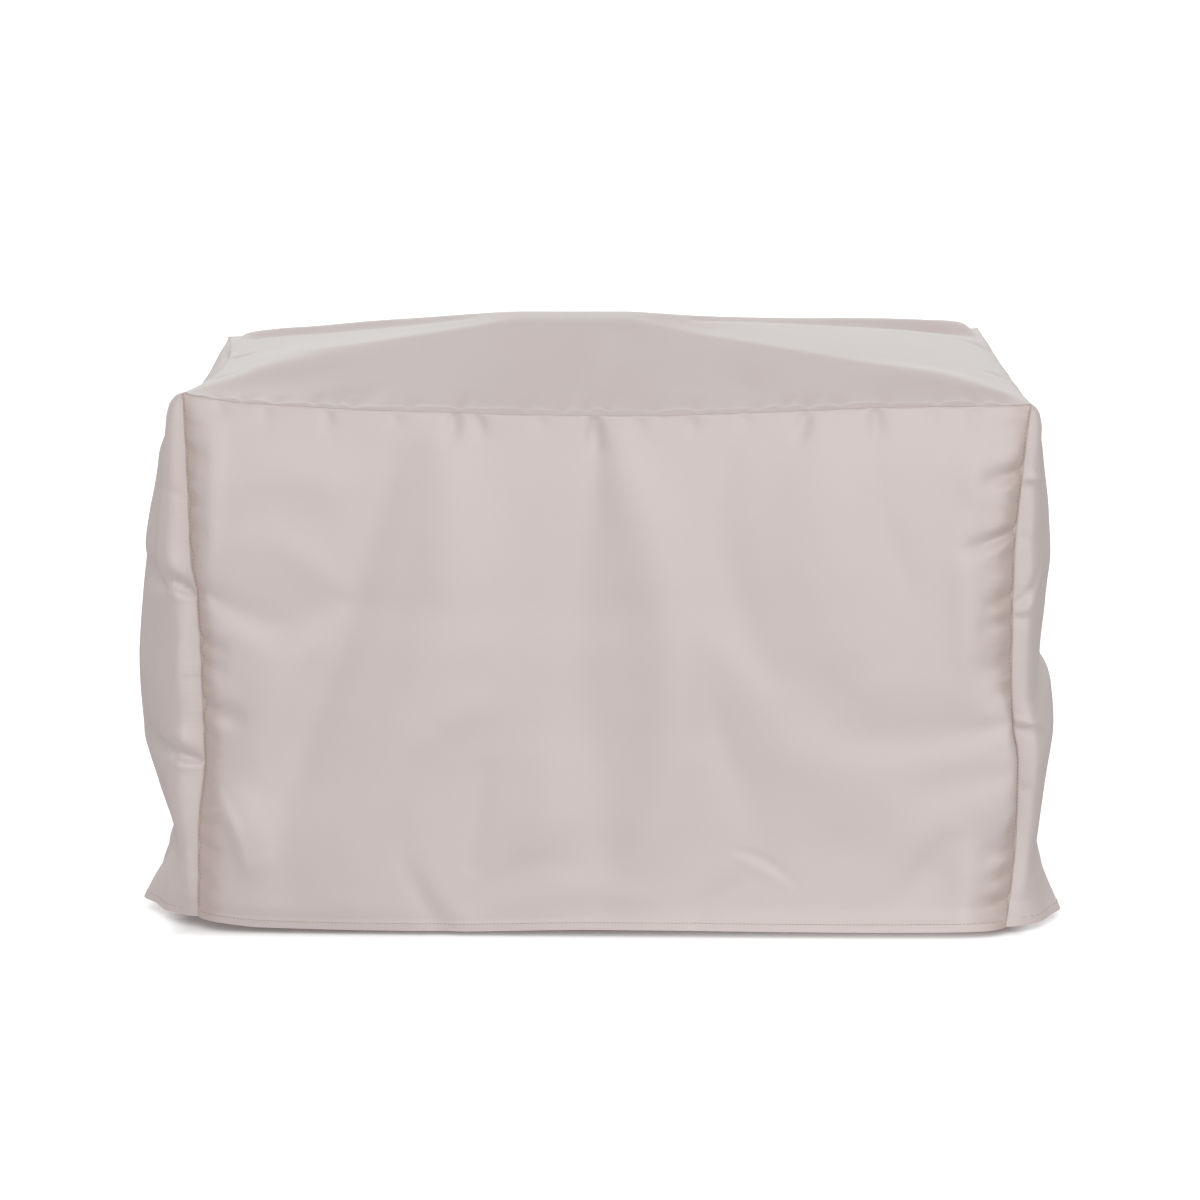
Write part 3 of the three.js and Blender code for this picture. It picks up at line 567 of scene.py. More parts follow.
def cover_cloth():
    """Pale warm grey polyester: a fine plain weave under a coating with a soft sheen."""
    material, shade = new_material("cover_cloth")
    cut = shade.node("UVMap", {"uv_map": "cut"}, {})
    across = shade.node("SeparateXYZ", {}, {"Vector": cut}, "X")
    up = across.output("Y")
    side = shade.node("Attribute", {"attribute_name": "seam_side"}, {}, "Fac")
    end = shade.node("Attribute", {"attribute_name": "seam_end"}, {}, "Fac")
    place = shade.node("TexCoord", {}, {}, "Object")

    # Threads over and under each other.
    thread = math.pi / WEAVE_PITCH
    weave = (across * thread).math("SINE") * (up * thread).math("SINE")
    surface = weave * 0.5 + noise(place, scale=700.0, detail=2.0)
    relief = {"Height": surface, "Strength": 0.25, "Distance": WEAVE_RELIEF}
    fine = shade.node("Bump", {}, relief)

    # Beside each seam the thread pulls the cloth into small puckers, here more and there less.
    beside_side = shade.node("CombineXYZ", {}, {"X": across * PUCKERS[0], "Y": up * PUCKERS[1]})
    beside_end = shade.node("CombineXYZ", {}, {"X": across * PUCKERS[1], "Y": up * PUCKERS[0]})
    near_side = (side * -SIDE_PUCKER_FADE).math("EXPONENT")
    near_end = (end * -END_PUCKER_FADE).math("EXPONENT")
    ripple_side = noise(beside_side, scale=1.0, detail=1.0)
    ripple_end = noise(beside_end, scale=1.0, detail=1.0)
    gathers = ripple_side * near_side + ripple_end * near_end
    relief = {"Height": gathers, "Strength": 1.0, "Distance": PUCKER_RELIEF, "Normal": fine}
    gathered = shade.node("Bump", {}, relief)

    # And the whole sheet is never quite flat.
    slack = noise(place, scale=14.0, detail=2.0)
    relief = {"Height": slack, "Strength": 1.0, "Distance": SLACK_RELIEF, "Normal": gathered}
    normal = shade.node("Bump", {}, relief)

    patches = noise(place, scale=5.0, detail=3.0)
    tints = {6: CLOTH_TINTS[0], 7: CLOTH_TINTS[1]}
    clean = shade.node("Mix", {"data_type": "RGBA"}, {0: patches, **tints}, 2)

    # Painted shade: the grooves beside the corner seams are darkened to a tan, in uneven patches,
    # where the cloth falls into shade.
    groove = shade.node("Attribute", {"attribute_name": "groove"}, {}, "Fac")
    painted_shade_spots = {"X": across * PAINTED_SHADE_PATCHES[0], "Y": up * PAINTED_SHADE_PATCHES[1]}
    uneven = noise(shade.node("CombineXYZ", {}, painted_shade_spots), scale=1.0, detail=2.0)
    painted_shade = ramp(groove * (uneven * PAINTED_SHADE_CONTRAST - PAINTED_SHADE_BARE), PAINTED_SHADE_EDGE)
    colour = shade.node("Mix", {"data_type": "RGBA"}, {0: painted_shade, 6: clean, 7: PAINTED_SHADE_TINT}, 2)
    finish = shade.node("BsdfPrincipled", {}, {
        "Base Color": colour,
        "Roughness": CLOTH_ROUGHNESS + CLOTH_UNEVEN * patches,
        "Specular IOR Level": 1.0,
        "Normal": normal,
    })
    shade.node("OutputMaterial", {}, {"Surface": finish})
    return material


CLOTH_FINISH = cover_cloth()


def hang(name, grid):
    """Makes a panel from its grid, and puts it in the scene in its solid's place."""
    mesh = sheet_mesh(name, *grid)
    mesh.materials.append(CLOTH_FINISH)
    panel = bpy.data.objects.new(name, mesh)
    bpy.context.scene.collection.objects.link(panel)
    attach(panel, "root")
    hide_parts(name.removesuffix("_cloth"))


EDGE_STEPS = (0.040, 13)  # how far the fine columns beside a seam reach, and how many there are
HEM_STEPS = (0.018, 7)
TOP_STEPS = (0.030, 9)
PAINTED_SHADE_REACH = 2.0  # width of the painted shade in a groove, in widths of the cloth's roll there


def groove_depth(wall, across, up):
    """How deep a place lies in the groove beside a corner seam, as its share of painted shade: 1 on
    the seam, 0 well away.
    """
    sections = wall["sections"]
    reach, end_reach = (read(sections["height"], sections[k], up) for k in ("reach", "end_reach"))
    near_start = np.exp(-((across / (PAINTED_SHADE_REACH * reach)) ** 2))
    near_end = np.exp(-(((wall["length"] - across) / (PAINTED_SHADE_REACH * end_reach)) ** 2))
    return np.maximum(near_start, near_end) * wall["painted_shade"]


def wall_grid(wall, pitch_across, pitch_up):
    """The grid of one wall, with what sheet_mesh needs to know at each of its points."""
    across = spread(wall["length"], EDGE_STEPS, EDGE_STEPS, pitch_across)[:, None]
    up = spread(DROP, HEM_STEPS, TOP_STEPS, pitch_up)[None, :]
    distances = {"left": across, "right": wall["length"] - across, "top": DROP - up}
    places = sew_edges(wall_place(wall, across, up), distances, wall["inwards"])
    turned_across = padded_numbers(across[:, 0], True, True)[:, None]
    turned_up = padded_numbers(up[0], False, True)[None, :]
    hem_part = 1 - np.clip((turned_up - HEM_WIDTH) / HEM_EDGE, 0, 1)
    thickness = np.broadcast_to(CLOTH + (HEM_CLOTH - CLOTH) * hem_part, places.shape[:2])
    step = np.broadcast_to(HEM_STEP * hem_part, places.shape[:2])
    places = places + grid_normals(places) * step[..., None]
    side = np.minimum(turned_across, wall["length"] - turned_across)
    groove = groove_depth(wall, turned_across, turned_up)
    return places, thickness, turned_across, turned_up, side, DROP - turned_up, groove


# At each height of a wall: fall is how far its cloth stands out past the seams, reach and
# end_reach are how wide it rolls into its first and its last seam, and round is its belly.
front = dict(
    corners=("front_left", "front_right"),
    length=WIDTH,
    # painted shade in the grooves beside its corner seams
    painted_shade=1,
    outward=(0, -1, 0),
    top_edge=lambda u: (u, 0 * u),
    inwards={"left": (1, 1, 0), "right": (-1, 1, 0), "top": (0, 1, -1)},
    sections=table(
        "height fall reach end_reach round",
        (0, 28, 20, 26, 5), (60, 29, 22, 24, 4), (150, 30, 20, 14, 3), (210, 30, 18, 7, 3),
        (270, 30, 16, 4, 3), (360, 30, 14, 4, 3), (420, 30, 13, 11, 3), (480, 30, 13, 20, 3),
        (580, 29, 10, 20, 3), (700, 26, 12, 18, 4), (790, 21, 12, 15, 6), (860, 12, 11, 13, 11),
        (915, 0, 12, 14, 20),
    ),
    hem=table(
        "across height",
        (0, 13), (50, 9), (110, 4), (425, 1), (700, 6), (1150, 4), (1400, 5),
    ),
)
front["folds"] = dict(
    centre_valley=fold(
        (680, 886, 12, -1.5), (684, 801, 24, -3), (672, 690, 38, -3.8), (658, 560, 48, -4),
        (656, 440, 52, -4), (674, 300, 50, -3.5), (692, 160, 44, -2.6), (702, 90, 36, -0.8),
    ),
    centre_crest=fold(
        (722, 862, 26, 3), (752, 780, 46, 7), (784, 690, 56, 9), (808, 560, 62, 10),
        (814, 440, 64, 10), (800, 300, 60, 9), (770, 160, 56, 6.5), (752, 80, 50, 2.5),
    ),
    slant_valley=fold(
        (352, 832, 22, -1.6), (308, 690, 31, -4), (262, 560, 35, -4.8), (208, 430, 37, -5.6),
        (164, 300, 37, -4.8), (134, 195, 37, -3.2), (150, 80, 37, -1.6),
    ),
    slant_crest=fold(
        (432, 850, 42, 5.4), (440, 690, 69, 9.9), (420, 540, 86, 10.8), (376, 415, 90, 10.8),
        (322, 297, 84, 10.8), (276, 195, 74, 7.2), (246, 80, 63, 3.6),
    ),
    lens_valley=fold(
        (12, 588, 10, -2.1), (70, 556, 26, -3.8), (140, 536, 35, -4.2), (200, 552, 31, -3.4),
        (258, 584, 15, -0.8),
    ),
    lens_crest=fold(
        (50, 672, 30, 1.5), (130, 682, 36, 2.5), (195, 662, 34, 2.5), (250, 618, 24, 1.5),
    ),
    lens_lower=fold((16, 572, 13, 0.8), (66, 540, 24, 1.2), (108, 500, 31, 1.2), (116, 440, 33, 0.8)),
    left_crest=fold(
        (236, 566, 24, 1.8), (152, 472, 41, 3.6), (106, 369, 43, 4.2), (92, 236, 43, 3.6),
        (104, 120, 41, 2.4),
    ),
    upper_left_crest=fold((30, 760, 40, 2), (130, 800, 44, 3), (230, 790, 44, 3)),
    right_soft_valley=fold(
        (905, 830, 24, -1.5), (905, 700, 34, -3), (935, 560, 36, -3), (970, 470, 34, -2),
    ),
    right_soft_crest=fold(
        (1050, 850, 55, 5.1), (1075, 700, 86, 7.6), (1096, 560, 88, 7.6), (1140, 450, 77, 4.2),
    ),
    right_narrow_trough=fold(
        (1146, 850, 12, -1), (1165, 740, 24, -2.4), (1205, 640, 24, -2.1), (1225, 590, 19, -0.7),
    ),
    sweep_valley=fold(
        (862, 500, 16, -1.2), (872, 410, 26, -2.4), (898, 320, 31, -3), (934, 236, 34, -2.4),
        (972, 140, 34, -1.2),
    ),
    sweep_crest=fold(
        (905, 505, 24, 1.7), (966, 405, 53, 3.9), (1030, 325, 72, 5), (1120, 262, 79, 4.4),
        (1200, 190, 67, 2.2),
    ),
    kink_valley=fold(
        (1110, 334, 24, -1), (1190, 338, 32, -1.8), (1285, 346, 32, -2.3), (1368, 362, 18, -3),
        (1394, 368, 9, -3),
    ),
    kink_upper=fold((1160, 430, 48, 1), (1270, 445, 53, 1.8), (1340, 430, 37, 1)),
    kink_lower=fold((1180, 300, 26, 0.5), (1290, 312, 24, 0.8), (1380, 338, 14, 0.8)),
    kink_second=fold((1230, 252, 26, -0.8), (1300, 262, 26, -1.2), (1385, 280, 16, -1.5)),
    corner_crest=fold((1345, 225, 34, 1.8), (1245, 172, 46, 2.4), (1160, 84, 41, 1.2)),
    corner_valley=fold((1275, 160, 20, -1.2), (1246, 104, 28, -2.8), (1225, 60, 26, -1.6)),
    low_valley=fold((486, 290, 20, -1.5), (472, 200, 26, -3), (470, 128, 24, -2)),
    low_crest=fold((596, 290, 51, 3.2), (598, 200, 59, 4.8), (584, 128, 48, 2.4)),
    arc_crest=fold((388, 350, 33, 1.6), (446, 402, 37, 2), (525, 412, 35, 0.8)),
    hem_tuck=fold((344, 240, 14, -0.3), (350, 140, 16, -1), (384, 68, 17, -1.9), (428, 0, 24, -2.5)),
    hem_tuck_ridge=fold((388, 150, 19, 0.6), (414, 80, 22, 1.1), (462, 10, 31, 1.3)),
    hem_arc_left=fold((470, 52, 20, -1.1), (535, 104, 26, -1.9), (620, 122, 24, -0.8)),
    hem_arc_middle=fold((560, 40, 30, 1.2), (650, 74, 30, 1.8), (760, 66, 30, 1.2)),
    hem_arc_right=fold((862, 20, 18, -1.8), (900, 70, 20, -2), (945, 90, 16, -0.5)),
    short_crease=fold(
        (914, 146, 6, -0.4), (945, 138, 8, -1.4), (985, 116, 9, -1.8), (1030, 78, 6, -0.4),
    ),
    short_crease_ridge=fold((930, 128, 10, 0.6), (972, 108, 11, 1), (1010, 80, 9, 0.4)),
)
front["tucks"] = {
    "start": tucks(
        (868, -4, 44, 14, -3), (822, -8, 60, 18, -5), (770, 8, 44, 10, -3), (735, -4, 52, 18, -5),
        (690, -6, 66, 14, -5), (640, 6, 50, 14, -4), (500, -14, 84, 12, -8), (462, -8, 80, 14, -7),
        (424, -4, 56, 8, -3), (388, -18, 110, 15, -10), (340, -6, 56, 10, -4), (180, -10, 56, 10, -3),
        (135, -12, 70, 14, -5), (75, 6, 56, 12, -4),
    ) + [
        fold((60, 880, 18, 1), (66, 800, 20, 3), (62, 700, 18, 3), (58, 620, 14, 1)),
        fold(
            (48, 250, 12, 1), (64, 218, 14, 4), (89, 183, 15, 6), (108, 130, 15, 3),
            (118, 95, 14, 0.5),
        ),
        fold((70, 256, 24, 1), (90, 224, 28, 3.5), (118, 190, 30, 4.5), (138, 134, 28, 2)),
    ],
    "end": tucks(
        (866, 8, 90, 20, -4), (806, -22, 112, 15, -8), (752, 6, 50, 10, -2), (704, -37, 130, 12, -9),
        (655, -10, 80, 18, -4), (590, -14, 84, 12, -7), (545, -10, 96, 16, -5),
        (480, -12, 84, 20, -5), (430, -6, 70, 12, -4), (176, -10, 60, 12, -4),
        (150, -20, 100, 18, -6), (100, -16, 84, 12, -4), (50, -16, 100, 16, -6),
    ) + [
        fold((106, 850, 30, 1), (98, 790, 34, 4.5), (100, 740, 30, 1)),
        fold(
            (116, 720, 26, 1), (110, 650, 32, 5), (108, 570, 34, 6), (110, 500, 32, 5),
            (116, 430, 26, 1),
        ),
        fold((120, 170, 26, 1), (112, 100, 32, 5), (106, 30, 30, 4)),
    ],
    "top": tucks(
        (60, 8, 34, 10, -2.5), (140, -6, 40, 11, -2), (238, 6, 44, 10, -3), (350, 6, 34, 9, -2),
        (452, -12, 64, 13, -5), (486, 12, 50, 10, -4), (590, 4, 30, 9, -2), (679, 8, 76, 13, -5.5),
        (755, -6, 34, 8, -2.5), (836, 10, 44, 10, -3), (925, 6, 30, 8, -2), (1028, -12, 64, 13, -5),
        (1078, 8, 30, 8, -2), (1140, 12, 60, 12, -5), (1240, -6, 34, 9, -2.5), (1305, 6, 44, 12, -3),
    ),
}
grid = wall_grid(front, pitch_across=0.007, pitch_up=0.005)
hang("front_panel_cloth", grid)


# Right panel. One rectangle of the same cloth, half as wide as the front's and sewn in beside
# it. It bellies out far past its seams, and a horizontal tuck runs round it from the kink in
# the front seam.
right = dict(
    corners=("front_right", "back_right"),
    length=DEPTH,
    # no painted shade in the grooves beside its seams
    painted_shade=0,
    outward=(1, 0, 0),
    top_edge=lambda u: (1 + 0 * u, u),
    inwards={"left": (-1, 1, 0), "right": (-1, -1, 0), "top": (-1, 0, -1)},
    sections=table(
        "height fall reach end_reach round",
        (0, 88, 20, 20, 10), (55, 54, 10, 12, 28), (120, 32, 5, 8, 38), (216, 36, 5, 8, 48),
        (307, 43, 5, 8, 58), (361, 45, 5, 8, 62), (416, 32, 5, 8, 49), (490, 34, 5, 8, 48),
        (611, 40, 5, 8, 50), (700, 36, 5, 8, 46), (825, 26, 5, 8, 28), (870, 26, 6, 26, 8),
        (895, 20, 6, 40, -8), (915, 0, 6, 40, -4),
    ),
    hem=table("across height", (0, 5), (110, 7), (350, 3), (696, 7)),
)
right["folds"] = dict(
    kink_trough=fold((6, 370, 12, -6), (60, 365, 24, -9), (170, 372, 40, -6), (300, 380, 50, -3)),
    upper_trough=fold((8, 580, 10, -4), (60, 575, 20, -6), (150, 560, 35, -4)),
    near_ridge=fold((120, 800, 40, 4), (150, 660, 50, 6), (190, 520, 45, 4)),
    far_trough=fold((430, 840, 40, -3), (470, 600, 60, -9), (450, 300, 60, -7), (430, 60, 50, -3)),
    low_hem_trough=fold((250, 140, 40, -3), (260, 0, 50, -8)),
    right_tip=fold((78, 90, 22, 2), (84, 40, 22, 9), (86, 0, 24, 17)),
)
right["tucks"] = {
    "start": [
        fold(
            (22, 905, 14, 2), (34, 800, 18, 3), (36, 640, 20, 4), (34, 480, 18, 3), (40, 330, 22, 4),
            (34, 180, 18, 3), (24, 60, 14, 2),
        ),
        fold((8, 792, 5, 2), (20, 790, 7, 3.5), (40, 784, 9, 2)),
        fold((6, 776, 5, -2), (20, 774, 7, -3.5), (44, 766, 9, -2)),
        fold((4, 572, 5, -3), (24, 586, 7, -4), (60, 628, 10, -3)),
        fold((8, 556, 6, 1), (30, 566, 8, 3), (60, 596, 10, 2)),
        fold((6, 548, 4, -2), (20, 544, 6, -2.5), (36, 534, 8, -1)),
        fold((4, 366, 5, 3), (30, 362, 7, 4), (64, 358, 10, 3), (150, 360, 18, 1)),
        fold((4, 350, 6, -1), (30, 344, 8, -2), (64, 338, 10, -1)),
        fold((30, 396, 8, -1), (54, 392, 9, -4), (90, 392, 14, -2)),
        fold((4, 250, 6, -1), (26, 236, 8, -2), (50, 210, 10, -1)),
        fold((10, 690, 6, -1), (30, 680, 8, -2), (56, 668, 10, -1)),
    ],
    "end": tucks(
        (820, 10, 46, 10, -2.0), (700, -12, 64, 11, -2.4), (560, 8, 50, 10, -2.2),
        (430, -14, 66, 11, -2.6), (300, 10, 46, 10, -2.0), (170, -8, 50, 10, -2.2),
    ),
    "top": tucks((180, 6, 50, 10, -1.8), (350, -4, 44, 9, -1.6), (560, 8, 50, 10, -1.8)),
}
grid = wall_grid(right, pitch_across=0.006, pitch_up=0.006)
hang("right_panel_cloth", grid)


# Back panel. The front's pair, cut from the same cloth to the same rectangle and sewn in the
# same way. It has soft folds of its own.
back = dict(
    corners=("back_right", "back_left"),
    length=WIDTH,
    # painted shade in the grooves beside its corner seams, as on the front
    painted_shade=1,
    outward=(0, 1, 0),
    top_edge=lambda u: (1 - u, 1 + 0 * u),
    inwards={"left": (-1, -1, 0), "right": (1, -1, 0), "top": (0, -1, -1)},
    sections=table(
        "height fall reach end_reach round",
        (0, 24, 20, 22, 12), (60, 24, 20, 22, 5), (200, 30, 18, 20, 8), (450, 34, 16, 14, 12),
        (700, 30, 14, 16, 10), (860, 12, 12, 13, 12), (915, 0, 12, 12, 16),
    ),
    hem=table("across height", (0, 7), (380, 2), (800, 6), (1400, 9)),
)
back["folds"] = dict(
    first_trough=fold((330, 880, 14, -2), (360, 640, 50, -9), (330, 380, 55, -8), (350, 120, 45, -4)),
    middle_ridge=fold((640, 840, 30, 3), (610, 560, 60, 8), (660, 260, 55, 5)),
    last_trough=fold(
        (900, 885, 14, -2), (960, 620, 50, -10), (1040, 400, 55, -8), (1080, 160, 50, -4),
    ),
    back_kink_trough=fold((1392, 470, 12, -6), (1330, 480, 24, -8), (1220, 520, 40, -5)),
    back_hem_tuck=fold((520, 130, 24, -3), (540, 0, 34, -9)),
)
back["tucks"] = {
    "start": tucks(
        (850, -8, 54, 10, -2.4), (740, 8, 56, 10, -2.6), (640, -10, 64, 11, -3.0),
        (520, 10, 70, 12, -3.4), (400, -12, 60, 11, -3.0), (280, 6, 56, 10, -2.6),
        (150, -8, 60, 11, -2.8),
    ),
    "end": tucks(
        (830, 6, 54, 10, -2.4), (700, -10, 60, 11, -3.0), (590, 8, 56, 10, -2.6),
        (380, -12, 66, 12, -3.4), (260, 8, 56, 10, -2.6), (130, -8, 58, 10, -2.6),
    ),
    "top": tucks((300, 6, 50, 10, -1.8), (720, -4, 44, 9, -1.6), (1120, 8, 50, 10, -1.8)),
}
grid = wall_grid(back, pitch_across=0.009, pitch_up=0.007)
hang("back_panel_cloth", grid)


# Left panel. The right panel's pair, cut to the same rectangle of the same cloth. It bellies
# out further, and two horizontal tucks run round it from the kinks in the front seam.
left = dict(
    corners=("back_left", "front_left"),
    length=DEPTH,
    # no painted shade beside its seams, as on the right
    painted_shade=0,
    outward=(-1, 0, 0),
    top_edge=lambda u: (0 * u, 1 - u),
    inwards={"left": (1, -1, 0), "right": (1, 1, 0), "top": (1, 0, -1)},
    sections=table(
        "height fall reach end_reach round",
        (0, 88, 26, 26, 2), (55, 54, 14, 12, 34), (120, 29, 8, 5, 43), (205, 44, 8, 5, 67),
        (268, 56, 8, 5, 83), (385, 62, 8, 5, 83), (530, 56, 8, 5, 76), (690, 42, 8, 5, 58),
        (775, 33, 8, 5, 49), (828, 33, 8, 5, 24), (870, 34, 26, 5, -18), (895, 28, 36, 5, -40),
        (906, 18, 40, 6, -46), (915, 0, 40, 6, -30),
    ),
    hem=table("across height", (0, 9), (350, 5), (620, 13), (696, 13)),
)
left["folds"] = dict(
    upper_kink_trough=fold(
        (694, 580, 7, -8), (668, 584, 13, -11), (610, 590, 24, -9), (500, 584, 42, -4),
    ),
    lower_kink_trough=fold(
        (694, 292, 7, -8), (664, 294, 14, -11), (600, 290, 28, -8), (500, 280, 40, -4),
    ),
    left_near_ridge=fold((600, 760, 35, 4), (560, 660, 45, 6), (540, 440, 50, 5)),
    left_far_trough=fold(
        (270, 850, 35, -3), (230, 620, 60, -9), (250, 330, 60, -8), (280, 60, 50, -3),
    ),
    left_hem_trough=fold((450, 130, 40, -3), (440, 0, 50, -8)),
    left_tip=fold((618, 100, 24, 2), (604, 44, 24, 13), (594, 0, 26, 24)),
)
left["tucks"] = {
    "end": [
        fold(
            (22, 905, 16, 3), (38, 800, 22, 7), (50, 680, 30, 9), (52, 620, 30, 9), (40, 560, 22, 6),
            (38, 460, 20, 6), (38, 360, 20, 5), (46, 300, 26, 7), (50, 230, 30, 9), (34, 130, 20, 5),
            (22, 60, 14, 4), (20, 0, 14, 2),
        ),
        fold((2, 572, 4, -4), (14, 579, 6, -8), (34, 594, 9, -7), (64, 606, 12, -1)),
        fold((12, 602, 8, 1), (28, 622, 12, 4), (34, 650, 14, 1)),
        fold((12, 560, 6, 1), (36, 570, 8, 3), (62, 578, 12, 1)),
        fold((10, 566, 6, 1), (28, 520, 9, 3), (44, 452, 12, 3), (52, 390, 12, 1)),
        fold((2, 282, 4, -4), (22, 286, 7, -8), (54, 298, 11, -7), (84, 304, 14, -1)),
        fold((16, 306, 8, 1), (38, 322, 13, 4), (56, 342, 14, 1)),
        fold((12, 268, 6, 1), (42, 275, 8, 3), (70, 282, 12, 1)),
        fold((20, 540, 6, -0.5), (44, 500, 8, -2), (66, 470, 10, -1)),
        fold((6, 740, 5, -1), (22, 746, 7, -2), (40, 756, 9, -0.5)),
        fold((6, 430, 6, -0.6), (20, 424, 8, -1.2), (36, 412, 9, -0.5)),
        fold((30, 90, 10, -1), (52, 60, 12, -2), (70, 20, 12, -1)),
    ],
    "start": tucks(
        (830, -8, 46, 10, -2.0), (690, 12, 64, 11, -2.4), (540, -8, 50, 10, -2.2),
        (410, 14, 66, 11, -2.6), (280, -8, 46, 10, -2.0), (150, 8, 50, 10, -2.2),
    ),
    "top": tucks((160, 6, 50, 10, -1.8), (360, -4, 44, 9, -1.6), (540, 6, 50, 10, -1.8)),
}
grid = wall_grid(left, pitch_across=0.006, pitch_up=0.006)
hang("left_panel_cloth", grid)


# Top panel. One rectangle of the same cloth, sewn to the four walls. It is held up from inside
# along its middle, so it makes a low tent: two long slopes, a short ridge and creases to the
# corners.
TOP_FOLDS = dict(
    middle_tuck=fold((640, 40, 12, -2), (645, 130, 26, -5), (640, 230, 22, -1)),
    middle_top_ridge=fold((690, 40, 14, 2), (700, 140, 26, 4), (700, 240, 22, 1)),
    left_tuck=fold((283, 12, 10, -3), (292, 50, 22, -4), (320, 120, 30, -1)),
    right_tuck=fold((955, 20, 16, -3), (945, 80, 30, -5), (925, 160, 34, -1)),
    left_hip=fold(
        (16, 44, 20, 4), (36, 94, 34, 8), (70, 140, 46, 11), (115, 180, 56, 13), (190, 215, 60, 9),
        (290, 250, 60, 3),
    ),
    left_slope=fold((70, 230, 60, 4), (130, 290, 80, 8), (220, 320, 80, 6), (320, 330, 70, 2)),
    right_hip=fold((1386, 32, 16, 3), (1350, 68, 30, 7), (1280, 102, 42, 8), (1180, 132, 50, 3)),
    back_left_trough=fold(
        (60, 600, 28, -8), (120, 572, 30, -11), (180, 532, 30, -11), (270, 478, 28, -9),
        (360, 426, 22, -6), (450, 384, 15, -3),
    ),
    back_right_trough=fold(
        (850, 383, 13, -2.5), (950, 428, 18, -4.5), (1056, 472, 27, -8.5), (1150, 508, 35, -13),
        (1221, 538, 41, -17), (1300, 568, 44, -20), (1350, 582, 40, -14),
    ),
)
TOP_TUCKS = {
    "front": tucks(
        (46, 20, 40, 9, -3), (90, 26, 50, 9, -3.5), (150, 14, 44, 10, -3), (212, 12, 70, 11, -5),
        (245, 14, 90, 13, -5.5), (282, -10, 50, 9, -3), (370, 12, 50, 9, -3), (452, 18, 70, 10, -4.5),
        (560, 18, 70, 11, -4.5), (625, 8, 44, 8, -3), (664, 6, 70, 10, -5.5), (704, -10, 80, 11, -5),
        (770, 16, 50, 9, -3), (850, -8, 60, 11, -4), (940, 18, 54, 9, -3.5), (985, 22, 60, 9, -4),
        (1024, 26, 60, 10, -4.5), (1090, -16, 50, 8, -3.5), (1168, -14, 60, 11, -4),
        (1240, 20, 50, 9, -3), (1322, -26, 60, 10, -4.5), (1362, -30, 60, 9, -4),
    ) + [
        fold(
            (8, 30, 5, 1), (13, 90, 7, 2.5), (9, 170, 6, 1), (14, 236, 8, 3), (9, 300, 6, 1),
            (12, 390, 7, 2), (10, 480, 6, 2.8), (14, 560, 8, 2), (9, 630, 6, 1), (14, 684, 8, 3.4),
            (9, 740, 6, 1.4), (12, 830, 7, 2.6), (9, 900, 6, 1.2), (14, 976, 8, 3.2),
            (9, 1060, 6, 1.4), (13, 1150, 7, 3), (9, 1210, 6, 1.2), (13, 1290, 7, 2.8),
            (9, 1370, 5, 1),
        ),
    ],
    "left": tucks((180, 8, 56, 10, -3), (420, -6, 60, 11, -3.5)),
    "right": tucks((220, 8, 56, 10, -3), (470, -6, 60, 11, -3.5)),
}


def top_place(across, deep):
    """Place of the top's cloth. In plan it fills in between the walls' top edges."""
    across, deep = np.broadcast_arrays(across, deep)
    u, t = across / WIDTH, deep / DEPTH
    full = DROP + 0 * u
    front_edge = hung_place(front, across, full)[0]
    back_edge = hung_place(back, WIDTH - across, full)[0]
    left_edge = hung_place(left, DEPTH - deep, full)[0]
    right_edge = hung_place(right, deep, full)[0]
    u, t = u[..., None], t[..., None]
    place = front_edge * (1 - t) + back_edge * t + left_edge * (1 - u) + right_edge * u
    place -= corner_place("front_left", full) * (1 - u) * (1 - t)
    place -= corner_place("front_right", full) * u * (1 - t)
    place -= corner_place("back_right", full) * u * t
    place -= corner_place("back_left", full) * (1 - u) * t
    to_side = np.minimum(across, WIDTH - across)
    to_end = np.minimum(deep, DEPTH - deep)
    folded = lift(TOP_FOLDS.values(), across, deep)
    folded = folded * away(to_side, FOLD_RELIEF) * away(to_end, FOLD_RELIEF)
    height = tent_height(across / WIDTH, deep / DEPTH) + folded
    ways = {"front": (deep, across), "left": (across, deep), "right": (WIDTH - across, deep)}
    rise = sum(lift(lines, *ways[seam]) for seam, lines in TOP_TUCKS.items())
    height = height + rise * away(to_side, TUCK_RELIEF) * away(to_end, TUCK_RELIEF)
    place[..., 2] = height
    return place


PAINTED_CORNER_SHADE = 0.016  # how far the painted shade reaches round the top's corners


def top_grid(pitch_across, pitch_deep):
    """The grid of the top, with what sheet_mesh needs to know at each of its points."""
    across = spread(WIDTH, EDGE_STEPS, EDGE_STEPS, pitch_across)[:, None]
    deep = spread(DEPTH, EDGE_STEPS, EDGE_STEPS, pitch_deep)[None, :]
    inwards = {"left": (1, 0, -1), "right": (-1, 0, -1), "bottom": (0, 1, -1), "top": (0, -1, -1)}
    distances = {"left": across, "right": WIDTH - across, "bottom": deep, "top": DEPTH - deep}
    places = sew_edges(top_place(across, deep), distances, inwards)
    across = padded_numbers(across[:, 0], True, True)[:, None]
    deep = padded_numbers(deep[0], True, True)[None, :]
    thickness = np.full(places.shape[:2], CLOTH)
    side, end = np.minimum(across, WIDTH - across), np.minimum(deep, DEPTH - deep)
    # painted shade round the top's corners, where the seams meet
    groove = np.exp(-((np.hypot(side, end) / PAINTED_CORNER_SHADE) ** 2))
    return places, thickness, across, deep, side, end, groove


hang("top_panel_cloth", top_grid(pitch_across=0.007, pitch_deep=0.006))


